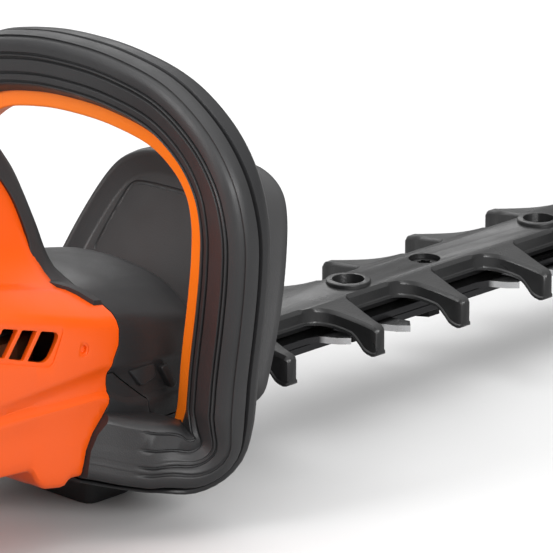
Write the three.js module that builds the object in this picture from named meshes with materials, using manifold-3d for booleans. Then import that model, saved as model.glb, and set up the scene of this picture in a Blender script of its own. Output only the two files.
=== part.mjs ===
// Cordless hedge trimmer with a loop front handle, a rear grip and a double-sided reciprocating blade.
// Units are millimetres. +X runs forward to the blade tip, +Y to the operator's left, +Z up.
// The origin is the centre of the front foot's sole, so z = 0 is the surface the tool stands on.
import * as THREE from "three";
import { mergeVertices } from "three/addons/utils/BufferGeometryUtils.js";
import Module from "manifold-3d";

const wasm = await Module();
wasm.setup();

// ---------------------------------------------------------------- driving dimensions

const GAP = 0.3; // clearance between neighbouring pieces
const SLIP = 0.05; // clearance between a shaft and what is carried on it
const WALL = 3; // wall of the moulded shells
const SOLE = 8; // height of the feet's soles in the drawing; the finished trimmer is lowered by it

const BLADE = {
  pitch: 42, // distance between guard teeth
  firstTooth: 60.2, // x of the first guard tooth
  teeth: 12, // guard teeth on each side
  ridgeHalf: 9.5, // half width of the flat ridge on top of the bar
  ridgeTop: 48.6,
  wall: 5.7, // height of the bar's side wall
  toothReach: 31.7, // half width over the tooth tips
  toothDrop: 4.3, // how far a tooth falls from the ridge to its tip
  hookBottom: 35.9,
  rear: 14, // x of the bar's rear end
  tip: 552, // x of the bar's front end
};
const CUTTER = {
  thickness: 2.2,
  spineHalf: 13,
  reach: 23.4, // half width over the cutter teeth
  pitch: 2 * BLADE.pitch, // each cutter has one long tooth in every second gap
  stroke: 16,
  upperBottom: 37.8,
  lowerBottom: 35.3,
  upperFirst: 92,
  lowerFirst: 121,
};
const BOLT = { shaft: 3, collar: 5, recess: 5.5, ring: 7.5, ringPitch: 97, first: 120, count: 5 };
const SMALL_BOLTS = [157.9, 351.9];
const BAR_SCREWS = [[28, -5], [28, 5]]; // [x, y] of the screws that hold the bar to the gearbox's nose
const BAR_SCREW = { shaft: 2, head: 3.8, drive: 1.8, under: 55.3, top: 58 };
const SUPPORT = { bottom: 32.6, thickness: 2.4, half: 8 };

const GEAR = { x: -22.5, radius: 29, teeth: 58, bottom: 46, thickness: 6 };
const PINION = { x: -56.5, radius: 5, teeth: 10 };
const CRANK = { throw: CUTTER.stroke / 2, radius: 3, bottom: 40.3 };
const MOTOR = { bottom: 57, top: 75, radius: 23, shaft: 2.5 };

const BODY = {
  half: 40, // half width of the lower body
  seam: -30, // x of the joint between the orange housing and the grey front
  bottom: 25,
  seamTop: 87,
  top: 100,
  rear: -300,
  bayFront: -226, // x of the battery bay's closed end
};
const HANDLE_HALF = 16; // half width of the rear handle
const FRONT = { face: 17, split: 46 }; // front face and upper/lower split of the grey front
const LOOP = { rear: -9.2, split: 0.4, front: 7.6, inner: -7.5, outer: 12.3 };
const BAIL = { x: [-4.8, 3.5], r: [-12.3, -5.6], lift: 4, clear: 0.5 };
const GUARD = { x: 17.8, z: 50, tilt: 0.445, thickness: 3, flange: 11 };
const BATTERY = { front: -227, rear: -322, half: 35, bottom: 27, top: 85 };

// Half of the loop handle's centre line, as [y, z] from the right foot up to the crown.
const LOOP_LINE = [
  [-45, 24],
  [-51, 33.5],
  [-54.5, 46],
  [-57.5, 62],
  [-60.5, 81],
  [-62.5, 96],
  [-62.6, 109],
  [-59, 121],
  [-51, 131.5],
  [-37, 140],
  [-18, 144],
];
const LOOP_CROWN = [0, 145];

// The joint between the orange housing and the grey front, as [x, z] from the bottom up.
const SEAM = [
  [-40, BODY.bottom],
  [-40, 33],
  [-36, 44],
  [-29.5, 52],
  [-30, 63],
  [-26, 72],
  [-26, 81],
  [BODY.seam, BODY.seamTop],
];

// Side outlines, as [x, z].
const BODY_OUTLINE = [
  ...SEAM,
  [-78, BODY.top],
  [-94, 95],
  [-190, 92],
  [-215, 97],
  [BODY.rear, 97],
  [BODY.rear, 22],
  [-205, 22],
  [-188, 41],
  [-66, 41],
  [-54, BODY.bottom],
];
const HANDLE_OUTLINE = [
  [-32, 80],
  [-30.2, 98],
  [-36, 117],
  [-51, 138],
  [-74, 152],
  [-110, 157],
  [-185, 150],
  [-232, 138],
  [-262, 116],
  [-270, 80],
];
const HAND_OPENING = [
  [-84, 102],
  [-80, 116],
  [-90, 126],
  [-112, 129],
  [-180, 122],
  [-206, 115],
  [-212, 106],
  [-190, 98],
];
const GRIP_REACH = [-222, -30.5]; // x of the rubber trim's two ends along the rear handle

// ---------------------------------------------------------------- materials

const finish = (color, roughness, metalness) => ({ color, roughness, metalness });
const ORANGE = finish(0xf04a12, 0.42, 0);
const BRIGHT_ORANGE = finish(0xff6a14, 0.45, 0);
const DARK = finish(0x4b4c4e, 0.6, 0);
const RUBBER = finish(0x3c3d3f, 0.75, 0);
const BLACK = finish(0x1c1c1d, 0.7, 0);
const BAR_GREY = finish(0x77787a, 0.5, 0.2);
const STEEL = finish(0xb9babb, 0.32, 1);
const ALUMINIUM = finish(0xa6a8aa, 0.45, 1);
const BRASS = finish(0xb5893a, 0.35, 1);
const BOARD_GREEN = finish(0x1f5a38, 0.55, 0);

// ---------------------------------------------------------------- solid helpers

/** A closed three.js geometry as a manifold solid. */
function solid(geometry) {
  const bare = geometry.clone();
  bare.deleteAttribute("normal");
  bare.deleteAttribute("uv");
  const merged = mergeVertices(bare, 1e-4);
  const mesh = new wasm.Mesh({
    numProp: 3,
    vertProperties: merged.attributes.position.array,
    triVerts: new Uint32Array(merged.index.array),
  });
  return new wasm.Manifold(mesh);
}

/** A manifold solid as a flat-shaded three.js geometry. */
function geometryOf(shape) {
  const mesh = shape.getMesh();
  const geometry = new THREE.BufferGeometry();
  geometry.setAttribute("position", new THREE.BufferAttribute(mesh.vertProperties, mesh.numProp));
  geometry.setIndex(new THREE.BufferAttribute(mesh.triVerts, 1));
  const flat = geometry.toNonIndexed();
  flat.computeVertexNormals();
  return flat;
}

const join = (...shapes) => shapes.reduce((all, one) => all.add(one));
const cut = (shape, ...tools) => tools.reduce((left, tool) => left.subtract(tool), shape);

/** An axis-aligned block between two limits on each axis. */
function box([x0, x1], [y0, y1], [z0, z1]) {
  const geometry = new THREE.BoxGeometry(x1 - x0, y1 - y0, z1 - z0);
  return solid(geometry.translate((x0 + x1) / 2, (y0 + y1) / 2, (z0 + z1) / 2));
}

const TURNS = {
  x: new THREE.Matrix4().makeBasis(
    new THREE.Vector3(0, 1, 0),
    new THREE.Vector3(0, 0, 1),
    new THREE.Vector3(1, 0, 0),
  ),
  y: new THREE.Matrix4().makeBasis(
    new THREE.Vector3(1, 0, 0),
    new THREE.Vector3(0, 0, 1),
    new THREE.Vector3(0, -1, 0),
  ),
  z: new THREE.Matrix4(),
};

/** A round bar along an axis, between two places on it, through a point of the other two axes. */
function rod(axis, radius, [from, to], [a, b], sides = 24) {
  const geometry = new THREE.CylinderGeometry(radius, radius, to - from, sides);
  geometry.rotateX(Math.PI / 2);
  geometry.translate(a, b, axis === "y" ? -(from + to) / 2 : (from + to) / 2);
  return solid(geometry.applyMatrix4(TURNS[axis]));
}

/** A flat shape pushed along an axis; a bevel rounds both of its rims inwards. */
function prism(shape, axis, [from, to], bevel = 0, bevelSegments = 2, curveSegments = 3) {
  const geometry = new THREE.ExtrudeGeometry(shape, {
    depth: to - from - 2 * bevel,
    curveSegments,
    bevelEnabled: bevel > 0,
    bevelSize: bevel,
    bevelThickness: bevel,
    bevelOffset: -bevel,
    bevelSegments,
  });
  geometry.translate(0, 0, (axis === "y" ? -to : from) + bevel);
  return solid(geometry.applyMatrix4(TURNS[axis]));
}

/** A closed shape through corner points. */
const outline = (points) => new THREE.Shape(points.map((p) => new THREE.Vector2(...p)));

/** A closed shape through corner points, with its corners rounded. */
function rounded(points, radius) {
  const shape = new THREE.Shape();
  const corners = points.map((p) => new THREE.Vector2(...p));
  corners.forEach((corner, i) => {
    const before = corners[(i + corners.length - 1) % corners.length];
    const after = corners[(i + 1) % corners.length];
    const back = before.clone().sub(corner);
    const ahead = after.clone().sub(corner);
    const enter = back.clone().setLength(Math.min(radius, back.length() * 0.45)).add(corner);
    const leave = ahead.clone().setLength(Math.min(radius, ahead.length() * 0.45)).add(corner);
    if (i === 0) shape.moveTo(enter.x, enter.y);
    else shape.lineTo(enter.x, enter.y);
    shape.quadraticCurveTo(corner.x, corner.y, leave.x, leave.y);
  });
  shape.closePath();
  return shape;
}

/** Corner points moved a distance to the left of the direction of travel. */
function offset(points, distance) {
  const corners = points.map((p) => new THREE.Vector2(...p));
  return corners.map((corner, i) => {
    const before = corners[(i + corners.length - 1) % corners.length];
    const after = corners[(i + 1) % corners.length];
    const a = corner.clone().sub(before).normalize();
    const b = after.clone().sub(corner).normalize();
    const normal = new THREE.Vector2(-a.y - b.y, a.x + b.x);
    const stretch = distance / (1 + a.dot(b));
    return [corner.x + normal.x * stretch, corner.y + normal.y * stretch];
  });
}

const rectangle = ([x0, x1], [y0, y1]) => [
  [x0, y0],
  [x1, y0],
  [x1, y1],
  [x0, y1],
];
const mirrorY = (shape) => shape.mirror([0, 1, 0]);
const bothSides = (shape) => join(shape, mirrorY(shape));

const trimmer = new THREE.Group();

/** Adds a named piece to the trimmer. */
function piece(name, shape, look) {
  const mesh = new THREE.Mesh(geometryOf(shape), new THREE.MeshStandardMaterial(look));
  mesh.name = name;
  mesh.position.z = -SOLE;
  trimmer.add(mesh);
}

// ---------------------------------------------------------------- blade

const boltPlaces = Array.from({ length: BOLT.count }, (_, k) => BOLT.first + k * BOLT.ringPitch);
const allBolts = [...boltPlaces, ...SMALL_BOLTS];

/** One tooth of the fixed guard bar on the right-hand side, with its hook turned down. */
function guardTooth(x) {
  const { ridgeHalf, ridgeTop, wall, toothReach, toothDrop, hookBottom } = BLADE;
  const plan = new THREE.Shape();
  plan.moveTo(x - 15, -ridgeHalf + 1);
  plan.lineTo(x - 15, -ridgeHalf);
  plan.quadraticCurveTo(x - 7, -ridgeHalf - 0.8, x - 4.6, -17);
  plan.lineTo(x - 2.4, -toothReach);
  plan.lineTo(x + 2.2, -toothReach);
  plan.lineTo(x + 6, -ridgeHalf - 1.5);
  plan.quadraticCurveTo(x + 6.3, -ridgeHalf, x + 8, -ridgeHalf);
  plan.lineTo(x + 8, -ridgeHalf + 1);
  const slope = toothDrop / (toothReach - ridgeHalf);
  const lean = new THREE.Matrix4().makeShear(0, 0, 0, slope, 0, 0);
  lean.setPosition(0, 0, slope * ridgeHalf);
  const arm = new THREE.ExtrudeGeometry(plan, { depth: wall, bevelEnabled: false, curveSegments: 2 });
  arm.translate(0, 0, ridgeTop - wall);
  const hook = outline([
    [-toothReach, hookBottom + 0.6],
    [-toothReach + 0.6, hookBottom],
    [-toothReach + 4.2, hookBottom],
    [-toothReach + 9, ridgeTop - toothDrop - 3],
    [-toothReach, ridgeTop - toothDrop - 3],
  ]);
  return join(solid(arm.applyMatrix4(lean)), prism(hook, "x", [x - 2.4, x + 2.1]));
}

function guardBar() {
  const { ridgeHalf, ridgeTop, wall, rear, tip, firstTooth, pitch, teeth } = BLADE;
  const plan = rounded(
    [
      [rear, -ridgeHalf],
      [tip - 14, -ridgeHalf],
      [tip, -3],
      [tip, 3],
      [tip - 14, ridgeHalf],
      [rear, ridgeHalf],
    ],
    2,
  );
  let bar = prism(plan, "z", [ridgeTop - wall, ridgeTop]);
  for (let k = 0; k < teeth; k++) {
    const x = firstTooth + k * pitch;
    const left = guardTooth(0).rotate([0, 0, 180]).translate([x, 0, 0]);
    bar = join(bar, guardTooth(x), left);
  }
  const keel = [CUTTER.upperBottom + CUTTER.thickness + GAP, ridgeTop - 1];
  bar = bar.add(box([rear + 8, tip - 24], [-7.5, 7.5], keel));
  for (const x of boltPlaces) {
    bar = bar.add(rod("z", BOLT.ring, [ridgeTop - 1, ridgeTop + 1.4], [x, 0], 16));
  }
  for (const x of allBolts) {
    const recess = rod("z", BOLT.recess, [ridgeTop - wall + 1.6, ridgeTop + 2], [x, 0], 16);
    const hole = rod("z", BOLT.shaft + GAP, [ridgeTop - wall - 4, ridgeTop], [x, 0], 12);
    bar = cut(bar, recess, hole);
  }
  for (const place of BAR_SCREWS) {
    bar = cut(bar, rod("z", BAR_SCREW.shaft + GAP, [ridgeTop - wall - 4, ridgeTop + 1], place, 12));
  }
  return bar;
}
piece("blade_guard_bar", guardBar(), BAR_GREY);

/** One pair of cutter teeth, leaning towards +X. */
function cutterTeeth(x, bottom) {
  const { spineHalf, reach, thickness } = CUTTER;
  const long = [
    [x - 9, -spineHalf + 1],
    [x - 1.5, -spineHalf - 1.5],
    [x + 1.5, -reach + 3],
    [x + 4.5, -reach],
    [x + 8, -reach + 3.5],
    [x + 6.5, -spineHalf + 1],
  ];
  return bothSides(prism(outline(long), "z", [bottom, bottom + thickness]));
}

/** A reciprocating cutter: spine, teeth, bolt slots and the cross slot that a crank pin drives. */
function cutter(bottom, firstTooth, slotBack, slotAhead, pinX) {
  const { spineHalf, thickness, pitch } = CUTTER;
  const rise = [bottom, bottom + thickness];
  const rear = pinX - 9;
  const neck = [
    [rear, -12],
    [4, -12],
    [14, -spineHalf],
    [BLADE.tip - 36, -spineHalf],
    [BLADE.tip - 30, -6],
    [BLADE.tip - 30, 6],
    [BLADE.tip - 36, spineHalf],
    [14, spineHalf],
    [4, 12],
    [rear, 12],
  ];
  let blade = prism(rounded(neck, 2), "z", rise);
  for (let x = firstTooth; x < BLADE.tip - 36; x += pitch) {
    blade = blade.add(cutterTeeth(x, bottom));
  }
  for (const x of allBolts) {
    const reach = BOLT.shaft + 0.8;
    const slot = outline(rectangle([x - slotBack - reach, x + slotAhead + reach], [-reach, reach]));
    blade = blade.subtract(prism(slot, "z", [bottom - 1, bottom + thickness + 1]));
  }
  const cross = rectangle([pinX - 3.6, pinX + 3.6], [-9, 9]);
  return blade.subtract(prism(rounded(cross, 2), "z", [bottom - 1, bottom + thickness + 1]));
}
const pins = { ahead: GEAR.x + CRANK.throw, behind: GEAR.x - CRANK.throw };
const { stroke, upperBottom, upperFirst, lowerBottom, lowerFirst } = CUTTER;
piece("upper_cutter", cutter(upperBottom, upperFirst, 0, stroke, pins.ahead), STEEL);
piece("lower_cutter", cutter(lowerBottom, lowerFirst, stroke, 0, pins.behind), STEEL);

/** The flat steel strip that carries the cutters from below. */
function supportBar() {
  const { bottom, thickness, half } = SUPPORT;
  const rise = [bottom, bottom + thickness];
  let bar = prism(rounded(rectangle([16, BLADE.tip - 22], [-half, half]), 3), "z", rise);
  for (const x of allBolts) {
    bar = bar.subtract(rod("z", BOLT.shaft + GAP, [bottom - 2, bottom + thickness + 2], [x, 0], 12));
  }
  return bar;
}
piece("blade_support_bar", supportBar(), STEEL);

allBolts.forEach((x, k) => {
  const floor = BLADE.ridgeTop - BLADE.wall + 1.6 + GAP;
  const bolt = join(
    rod("z", BOLT.shaft, [SUPPORT.bottom - 1, floor + 1], [x, 0], 16),
    rod("z", BOLT.collar, [floor, floor + 2.2], [x, 0], 12),
    rod("z", 5.2, [SUPPORT.bottom - 3.4, SUPPORT.bottom - GAP], [x, 0], 6),
  );
  const drive = rod("z", 2.4, [floor + 0.8, floor + 4], [x, 0], 6);
  piece(`blade_bolt_${k + 1}`, bolt.subtract(drive), BLACK);
});

/** The blunt cap over the end of the blade. */
function tipGuard() {
  const { tip } = BLADE;
  const outer = rounded(
    [
      [tip - 13, -17],
      [tip - 4, -17],
      [tip + 9, -5],
      [tip + 9, 5],
      [tip - 4, 17],
      [tip - 13, 17],
    ],
    5,
  );
  const body = prism(outer, "z", [30, 51], 1.5, 2);
  const socketHalf = BLADE.ridgeHalf + GAP;
  const socket = box([tip - 30, tip + GAP], [-socketHalf, socketHalf], [31.4, 49]);
  return body.subtract(socket).subtract(box([tip - 30, tip - 12], [-14, 14], [34, 43.2]));
}
piece("blade_tip_guard", tipGuard(), DARK);

// ---------------------------------------------------------------- gearbox and motor

/** A spur gear with simple straight-sided teeth, centred on a vertical axis. */
function spurGear(x, radius, teeth, [bottom, top], phase) {
  const shape = new THREE.Shape();
  for (let k = 0; k < teeth; k++) {
    for (const [part, height] of [[-0.3, -1], [-0.16, 0.85], [0.16, 0.85], [0.3, -1]]) {
      const angle = ((k + part + phase) / teeth) * 2 * Math.PI;
      const r = radius + height;
      const point = [x + r * Math.cos(angle), r * Math.sin(angle)];
      if (k === 0 && part === -0.3) shape.moveTo(...point);
      else shape.lineTo(...point);
    }
  }
  return prism(shape, "z", [bottom, top]);
}

const gearRise = [GEAR.bottom, GEAR.bottom + GEAR.thickness];

/** The crank gear, with its shaft above and two opposed crank pins below. */
function driveGear() {
  let gear = spurGear(GEAR.x, GEAR.radius, GEAR.teeth, gearRise, 0);
  gear = gear.add(rod("z", 4, [gearRise[1] - 1, 72], [GEAR.x, 0]));
  for (const side of [-1, 1]) {
    const place = [GEAR.x + side * CRANK.throw, 0];
    gear = gear.add(rod("z", CRANK.radius, [CRANK.bottom, gearRise[0] + 1], place, 16));
    gear = gear.subtract(rod("z", 7, [gearRise[0] - 1, gearRise[1] + 1], [GEAR.x, side * 18]));
  }
  return gear;
}
piece("drive_gear", driveGear(), STEEL);

/** The motor's small gear, bored for its shaft. */
function drivePinion() {
  const wheel = spurGear(PINION.x, PINION.radius, PINION.teeth, [45.6, 52.4], 0.5);
  return wheel.subtract(rod("z", MOTOR.shaft + SLIP, [40, 60], [PINION.x, 0], 16));
}
piece("drive_pinion", drivePinion(), STEEL);

/** A ball bearing as a plain ring on a vertical shaft. */
function bearing(x, inner, outer, [bottom, top]) {
  const ring = rod("z", outer, [bottom, top], [x, 0], 32);
  return ring.subtract(rod("z", inner + SLIP, [bottom - 1, top + 1], [x, 0]));
}
piece("gear_bearing_lower", bearing(GEAR.x, 4, 9.5, [53, 59]), STEEL);
piece("gear_bearing_upper", bearing(GEAR.x, 4, 9.5, [64, 70]), STEEL);
piece("motor_bearing_lower", bearing(PINION.x, MOTOR.shaft, 8, [52.8, 56.6]), STEEL);
piece("motor_bearing_upper", bearing(PINION.x, MOTOR.shaft, 6, [81, 84.4]), STEEL);

const rotorRadius = 13;
piece("motor_shaft", rod("z", MOTOR.shaft, [44.6, 85], [PINION.x, 0], 16), STEEL);

/** The motor's permanent-magnet rotor. */
function rotor() {
  const drum = rod("z", rotorRadius, [MOTOR.bottom + 1, MOTOR.top - 1], [PINION.x, 0], 28);
  return drum.subtract(rod("z", MOTOR.shaft + SLIP, [MOTOR.bottom, MOTOR.top], [PINION.x, 0], 16));
}
piece("motor_rotor", rotor(), ALUMINIUM);

/** The wound stator round the rotor, with six open slots. */
function stator() {
  const rise = [MOTOR.bottom, MOTOR.top];
  let ring = rod("z", MOTOR.radius, rise, [PINION.x, 0], 40);
  ring = ring.subtract(rod("z", rotorRadius + 0.8, [rise[0] - 1, rise[1] + 1], [PINION.x, 0], 28));
  for (let k = 0; k < 6; k++) {
    const slot = box([10, 18], [-2, 2], [rise[0] - 1, rise[1] + 1]).rotate([0, 0, k * 60]);
    ring = ring.subtract(slot.translate([PINION.x, 0, 0]));
  }
  return ring;
}
piece("motor_stator", stator(), BRASS);

/** The cooling fan: a disc with eight straight paddles on top. */
function fan() {
  const x = PINION.x;
  let wheel = rod("z", 20, [76.4, 77.6], [x, 0], 32).add(rod("z", 5, [76.4, 80.4], [x, 0], 20));
  for (let k = 0; k < 8; k++) {
    const paddle = box([6, 19], [-0.7, 0.7], [77, 80.4]).rotate([0, 0, k * 45]);
    wheel = wheel.add(paddle.translate([x, 0, 0]));
  }
  return wheel.subtract(rod("z", MOTOR.shaft + SLIP, [70, 90], [x, 0], 16));
}
piece("cooling_fan", fan(), BLACK);

/** The cast tray under the cutters, with walls up to the bearing plate and a nose over the bar. */
function gearboxBase() {
  const { ridgeTop } = BLADE;
  const outer = prism(rounded(rectangle([-68, 9.1], [-35, 35]), 12), "z", [42.8, 62]);
  const nose = box([6, 34], [-13, 13], [ridgeTop + GAP, 55]);
  const tray = join(outer, box([-46, 9.1], [-20, 20], [28.6, 44]), nose);
  return cut(
    tray,
    box([-42, 20], [-14.5, 14.5], [31, 44.5]),
    prism(rounded(rectangle([-64, 7.6], [-32, 32]), 11), "z", [44, 52.5]),
    rod("z", 9.6, [50, 70], [GEAR.x, 0], 32),
    rod("z", 8.1, [50, 56.8], [PINION.x, 0], 32),
    rod("z", 24, [56.8, 70], [PINION.x, 0], 32),
    box([4, 20], [-14.5, 14.5], [31, ridgeTop]),
    ...BAR_SCREWS.map((place) => rod("z", BAR_SCREW.shaft + GAP, [40, 60], place, 12)),
  );
}
piece("gearbox_casting", gearboxBase(), ALUMINIUM);

BAR_SCREWS.forEach(([x, y], k) => {
  const { shaft, head, drive, under, top } = BAR_SCREW;
  const screw = join(
    rod("z", shaft, [BLADE.ridgeTop - BLADE.wall, under + 0.7], [x, y], 12),
    rod("z", head, [under, top], [x, y], 12),
  );
  piece(`bar_screw_${k + 1}`, screw.subtract(rod("z", drive, [top - 1.2, top + 2], [x, y], 6)), STEEL);
});

/** The plate over the gearbox that holds the upper bearing. */
function gearboxLid() {
  const plate = box([-33, 6], [-25, 25], [62.3, 72.6]);
  return cut(plate, rod("z", 9.6, [60, 70.2], [GEAR.x, 0], 32), rod("z", 5, [60, 80], [GEAR.x, 0]));
}
piece("gearbox_lid", gearboxLid(), ALUMINIUM);

// ---------------------------------------------------------------- grey front

/** The grey front's whole outer form: its plan, side and cross-section outlines in one. */
function frontForm() {
  const { face } = FRONT;
  const back = BODY.seam - 20;
  const plan = [
    [back, -BODY.half],
    [face - 10, -BODY.half],
    [face, -29],
    [face, 29],
    [face - 10, BODY.half],
    [back, BODY.half],
  ];
  const side = [
    [back, 26],
    [-14, 19],
    [face - 12, 14],
    [face, 18],
    [face, 70],
    [face - 8, 80],
    [-20, BODY.seamTop],
    [back, BODY.seamTop],
  ];
  const section = [
    [-BODY.half + 3, 10],
    [BODY.half - 3, 10],
    [BODY.half, BODY.seamTop + 2],
    [-BODY.half, BODY.seamTop + 2],
  ];
  const behind = [
    [back - 1, 0],
    [SEAM[0][0] + GAP, 0],
    ...SEAM.map(([x, z]) => [x + GAP, z]),
    [BODY.seam + GAP, 110],
    [back - 1, 110],
  ];
  return prism(rounded(plan, 9), "z", [0, 110])
    .intersect(prism(rounded(side, 9), "y", [-60, 60]))
    .intersect(prism(rounded(section, 10), "x", [-60, 60]))
    .subtract(prism(outline(behind), "y", [-60, 60]));
}

/** The rounded cross-section of the orange housing, as a long bar. */
function bodySection(inset = 0) {
  const section = [
    [-26, 21],
    [26, 21],
    [BODY.half, 33],
    [BODY.half, BODY.top - 1],
    [-BODY.half, BODY.top - 1],
    [-BODY.half, 33],
  ];
  return prism(rounded(offset(section, inset), 11 - inset), "x", [BODY.rear - 5, 60]);
}

const HOLLOW_REAR = -48; // the grey front's hollows open towards the housing
const BLADE_MOUTH = [[0, 40], [-15, 15], [30, 55.6]];

/** The space that the grey front leaves round the gearbox. */
function gearboxSpace(rise) {
  return prism(rounded(rectangle([HOLLOW_REAR, FRONT.face - 6.6], [-35.6, 35.6]), 12), "z", rise)
    .add(box([HOLLOW_REAR, -20], [-35.6, 35.6], rise));
}

/** Upper half of the grey front: a rounded hood over the gearbox. */
function gearCover() {
  const { face, split } = FRONT;
  const hollow = gearboxSpace([0, 63])
    .add(box([HOLLOW_REAR, face - 9], [-28, 28], [62, 74]))
    .add(box([HOLLOW_REAR, -16], [-26, 26], [60, 83]));
  const hood = frontForm().subtract(hollow).subtract(box([-60, 60], [-60, 60], [0, split]));
  return hood.subtract(box(...BLADE_MOUTH));
}
piece("gear_cover", gearCover(), DARK);

/** Lower half of the grey front, which carries the feet of the loop handle. */
function handleBase() {
  const { face, split } = FRONT;
  const hollow = join(
    box([HOLLOW_REAR, face - 7.6], [-20.6, 20.6], [28.2, split + 5]),
    gearboxSpace([42.4, split + 5]),
  );
  const tub = frontForm().intersect(box([-60, 60], [-60, 60], [0, split - GAP])).subtract(hollow);
  return tub.subtract(box(...BLADE_MOUTH));
}
piece("handle_base", handleBase(), DARK);

/** A section carried along the loop handle's centre line. x is forward, r is outward. */
function loopSweep(section, [first, last]) {
  const half = LOOP_LINE.map(([y, z]) => new THREE.Vector3(0, y, z));
  const other = [...half].reverse().map((p) => new THREE.Vector3(0, -p.y, p.z));
  const line = new THREE.CatmullRomCurve3([...half, new THREE.Vector3(0, ...LOOP_CROWN), ...other]);
  const steps = 40;
  const points = line.getSpacedPoints(steps).slice(first, steps + 1 - last);
  const path = new THREE.CatmullRomCurve3(points);
  const shape = new THREE.Shape();
  section.getPoints(2).forEach((p, i) => {
    if (i === 0) shape.moveTo(-p.x, p.y);
    else shape.lineTo(-p.x, p.y);
  });
  return solid(new THREE.ExtrudeGeometry(shape, { steps: points.length - 1, extrudePath: path }));
}

/** One shell of the loop between two places on x, with its share of the bail's channel. */
function loopShell(from, to) {
  const { rear, front, inner, outer } = LOOP;
  const { x, r, lift, clear } = BAIL;
  const bar = loopSweep(rounded(rectangle([rear, front], [inner, outer]), 6), [0, 0]);
  const channel = outline(rectangle([x[0] - clear, x[1] + clear], [inner - 3, r[1] + lift + clear]));
  return bar.subtract(loopSweep(channel, [2, 2])).intersect(box([from, to], [-90, 90], [0, 200]));
}
piece("loop_handle_rear", loopShell(LOOP.rear - 1, LOOP.split - GAP), RUBBER);
piece("loop_handle_front", loopShell(LOOP.split, LOOP.front + 1), DARK);
piece("front_bail", loopSweep(rounded(rectangle(BAIL.x, BAIL.r), 1.4), [3, 3]), BRIGHT_ORANGE);

/** Half outline of the hand guard in its own leaning plane, as [y, height up the slope]. */
const GUARD_SIDE = [
  [-45, 0],
  [-44.5, 4],
  [-41, 24],
  [-36.5, 40],
  [-31, 54],
  [-24, 62],
  [-13, 65.5],
];

/** The leaning hand guard with a flared rim, notched over the blade. */
function handGuard() {
  const rimLine = [...GUARD_SIDE, ...[...GUARD_SIDE].reverse().map(([y, s]) => [-y, s])].reverse();
  const grown = rimLine.map(([y, s]) => [y * 1.12, s * 1.06]);
  const back = prism(rounded(rimLine, 5), "x", [0, GUARD.thickness]);
  const rim = cut(
    prism(rounded(grown, 5), "x", [GUARD.thickness - 1.5, GUARD.flange]),
    prism(rounded(offset(grown, 2.2), 4), "x", [GUARD.thickness, GUARD.flange + 1]),
    box([-10, 40], [-80, 80], [-20, 2]),
  );
  const degrees = (GUARD.tilt * 180) / Math.PI;
  const leaning = join(back, rim).rotate([0, degrees, 0]).translate([GUARD.x, 0, GUARD.z]);
  const flange = outline([
    [FRONT.face + GAP, GUARD.z + 1],
    [GUARD.x + 2, GUARD.z + 1],
    [GUARD.x + 9, GUARD.z + 16],
    [FRONT.face + GAP, GUARD.z + 16],
  ]);
  const notch = prism(rounded(rectangle([-17, 17], [GUARD.z - 10, GUARD.z + 11]), 4), "x", [0, 60]);
  return join(leaning, prism(flange, "y", [-27, 27])).subtract(notch);
}
piece("hand_guard", handGuard(), DARK);

// ---------------------------------------------------------------- orange housing

const VENTS = { count: 5, first: -59, pitch: 8 }; // leaning slots on each side, from the front

/** Both housing shells in one, before they are split down the middle. */
function housing() {
  const open = BODY.seam + 10;
  let shell = prism(rounded(BODY_OUTLINE, 8), "y", [-60, 60]).intersect(bodySection());
  shell = shell.add(prism(rounded(HANDLE_OUTLINE, 12), "y", [-HANDLE_HALF, HANDLE_HALF], 4, 2));
  shell = shell.subtract(prism(rounded(HAND_OPENING, 8), "y", [-60, 60]));
  const inner = prism(rounded(offset(BODY_OUTLINE, WALL), 6), "y", [-60, 60]);
  const hollow = inner.intersect(bodySection(WALL));
  shell = cut(
    shell,
    hollow.intersect(box([BODY.bayFront + 4, open], [-60, 60], [0, 100])),
    box([-72, open], [-35.6, 35.6], [42.4, 63]),
    box([-48, open], [-20.6, 20.6], [28.2, 63]),
    box([-86, open], [-26, 26], [60, 90]),
  );
  shell = shell.add(box([-60, BODY.seam], [-12, 12], [86, 92]));
  shell = cut(
    shell,
    box([BODY.rear - 1, BODY.bayFront], [-36, 36], [26, 86]),
    frontForm().translate([-GAP, 0, 0]),
  );
  for (let k = 0; k < VENTS.count; k++) {
    const x = VENTS.first - k * VENTS.pitch;
    const shape = outline([
      [x - 6, 73 + k],
      [x - 0.6, 72.3 + k],
      [x + 5.4, 83.3 + k],
      [x, 84 + k],
    ]);
    shell = cut(shell, prism(shape, "y", [-60, -34]), prism(shape, "y", [34, 60]));
  }
  return shell;
}

const TRIGGER = { pivot: [-108, 132], rear: -146, half: 6.5 };
const LOCK = { x: [-134, -116], half: 4.5, bottom: 144.5, top: 161 };

/** The small control panel leans with the top of the riser. */
const PANEL = { half: 10, thickness: 2.4, lean: 7 };
function panelPart(shape) {
  return shape.rotate([0, -PANEL.lean, 0]).translate([-80, 0, 152.6]);
}

const whole = cut(
  housing(),
  box([TRIGGER.rear - 5, TRIGGER.pivot[0] + 6], [-TRIGGER.half - 1, TRIGGER.half + 1], [118, 146]),
  box([LOCK.x[0] - 0.5, LOCK.x[1] + 0.5], [-LOCK.half - 0.5, LOCK.half + 0.5], [140, 165]),
  box([-180, -152], [-9, 9], [126, 142]),
  box([BODY.bayFront - 1, BODY.bayFront + 5], [-16.5, 16.5], [49.5, 62.5]),
  rod("y", 1.8, [-9.5, 9.5], TRIGGER.pivot, 12),
  panelPart(prism(rounded(rectangle([-11, 11], [-PANEL.half - 0.5, PANEL.half + 0.5]), 4), "z", [-1, 20])),
);
const halfGap = GAP / 2;
piece("housing_right", whole.intersect(box([-400, 100], [-90, -halfGap], [-10, 200])), ORANGE);
piece("housing_left", whole.intersect(box([-400, 100], [halfGap, 90], [-10, 200])), ORANGE);

// ---------------------------------------------------------------- rear handle fittings

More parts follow.
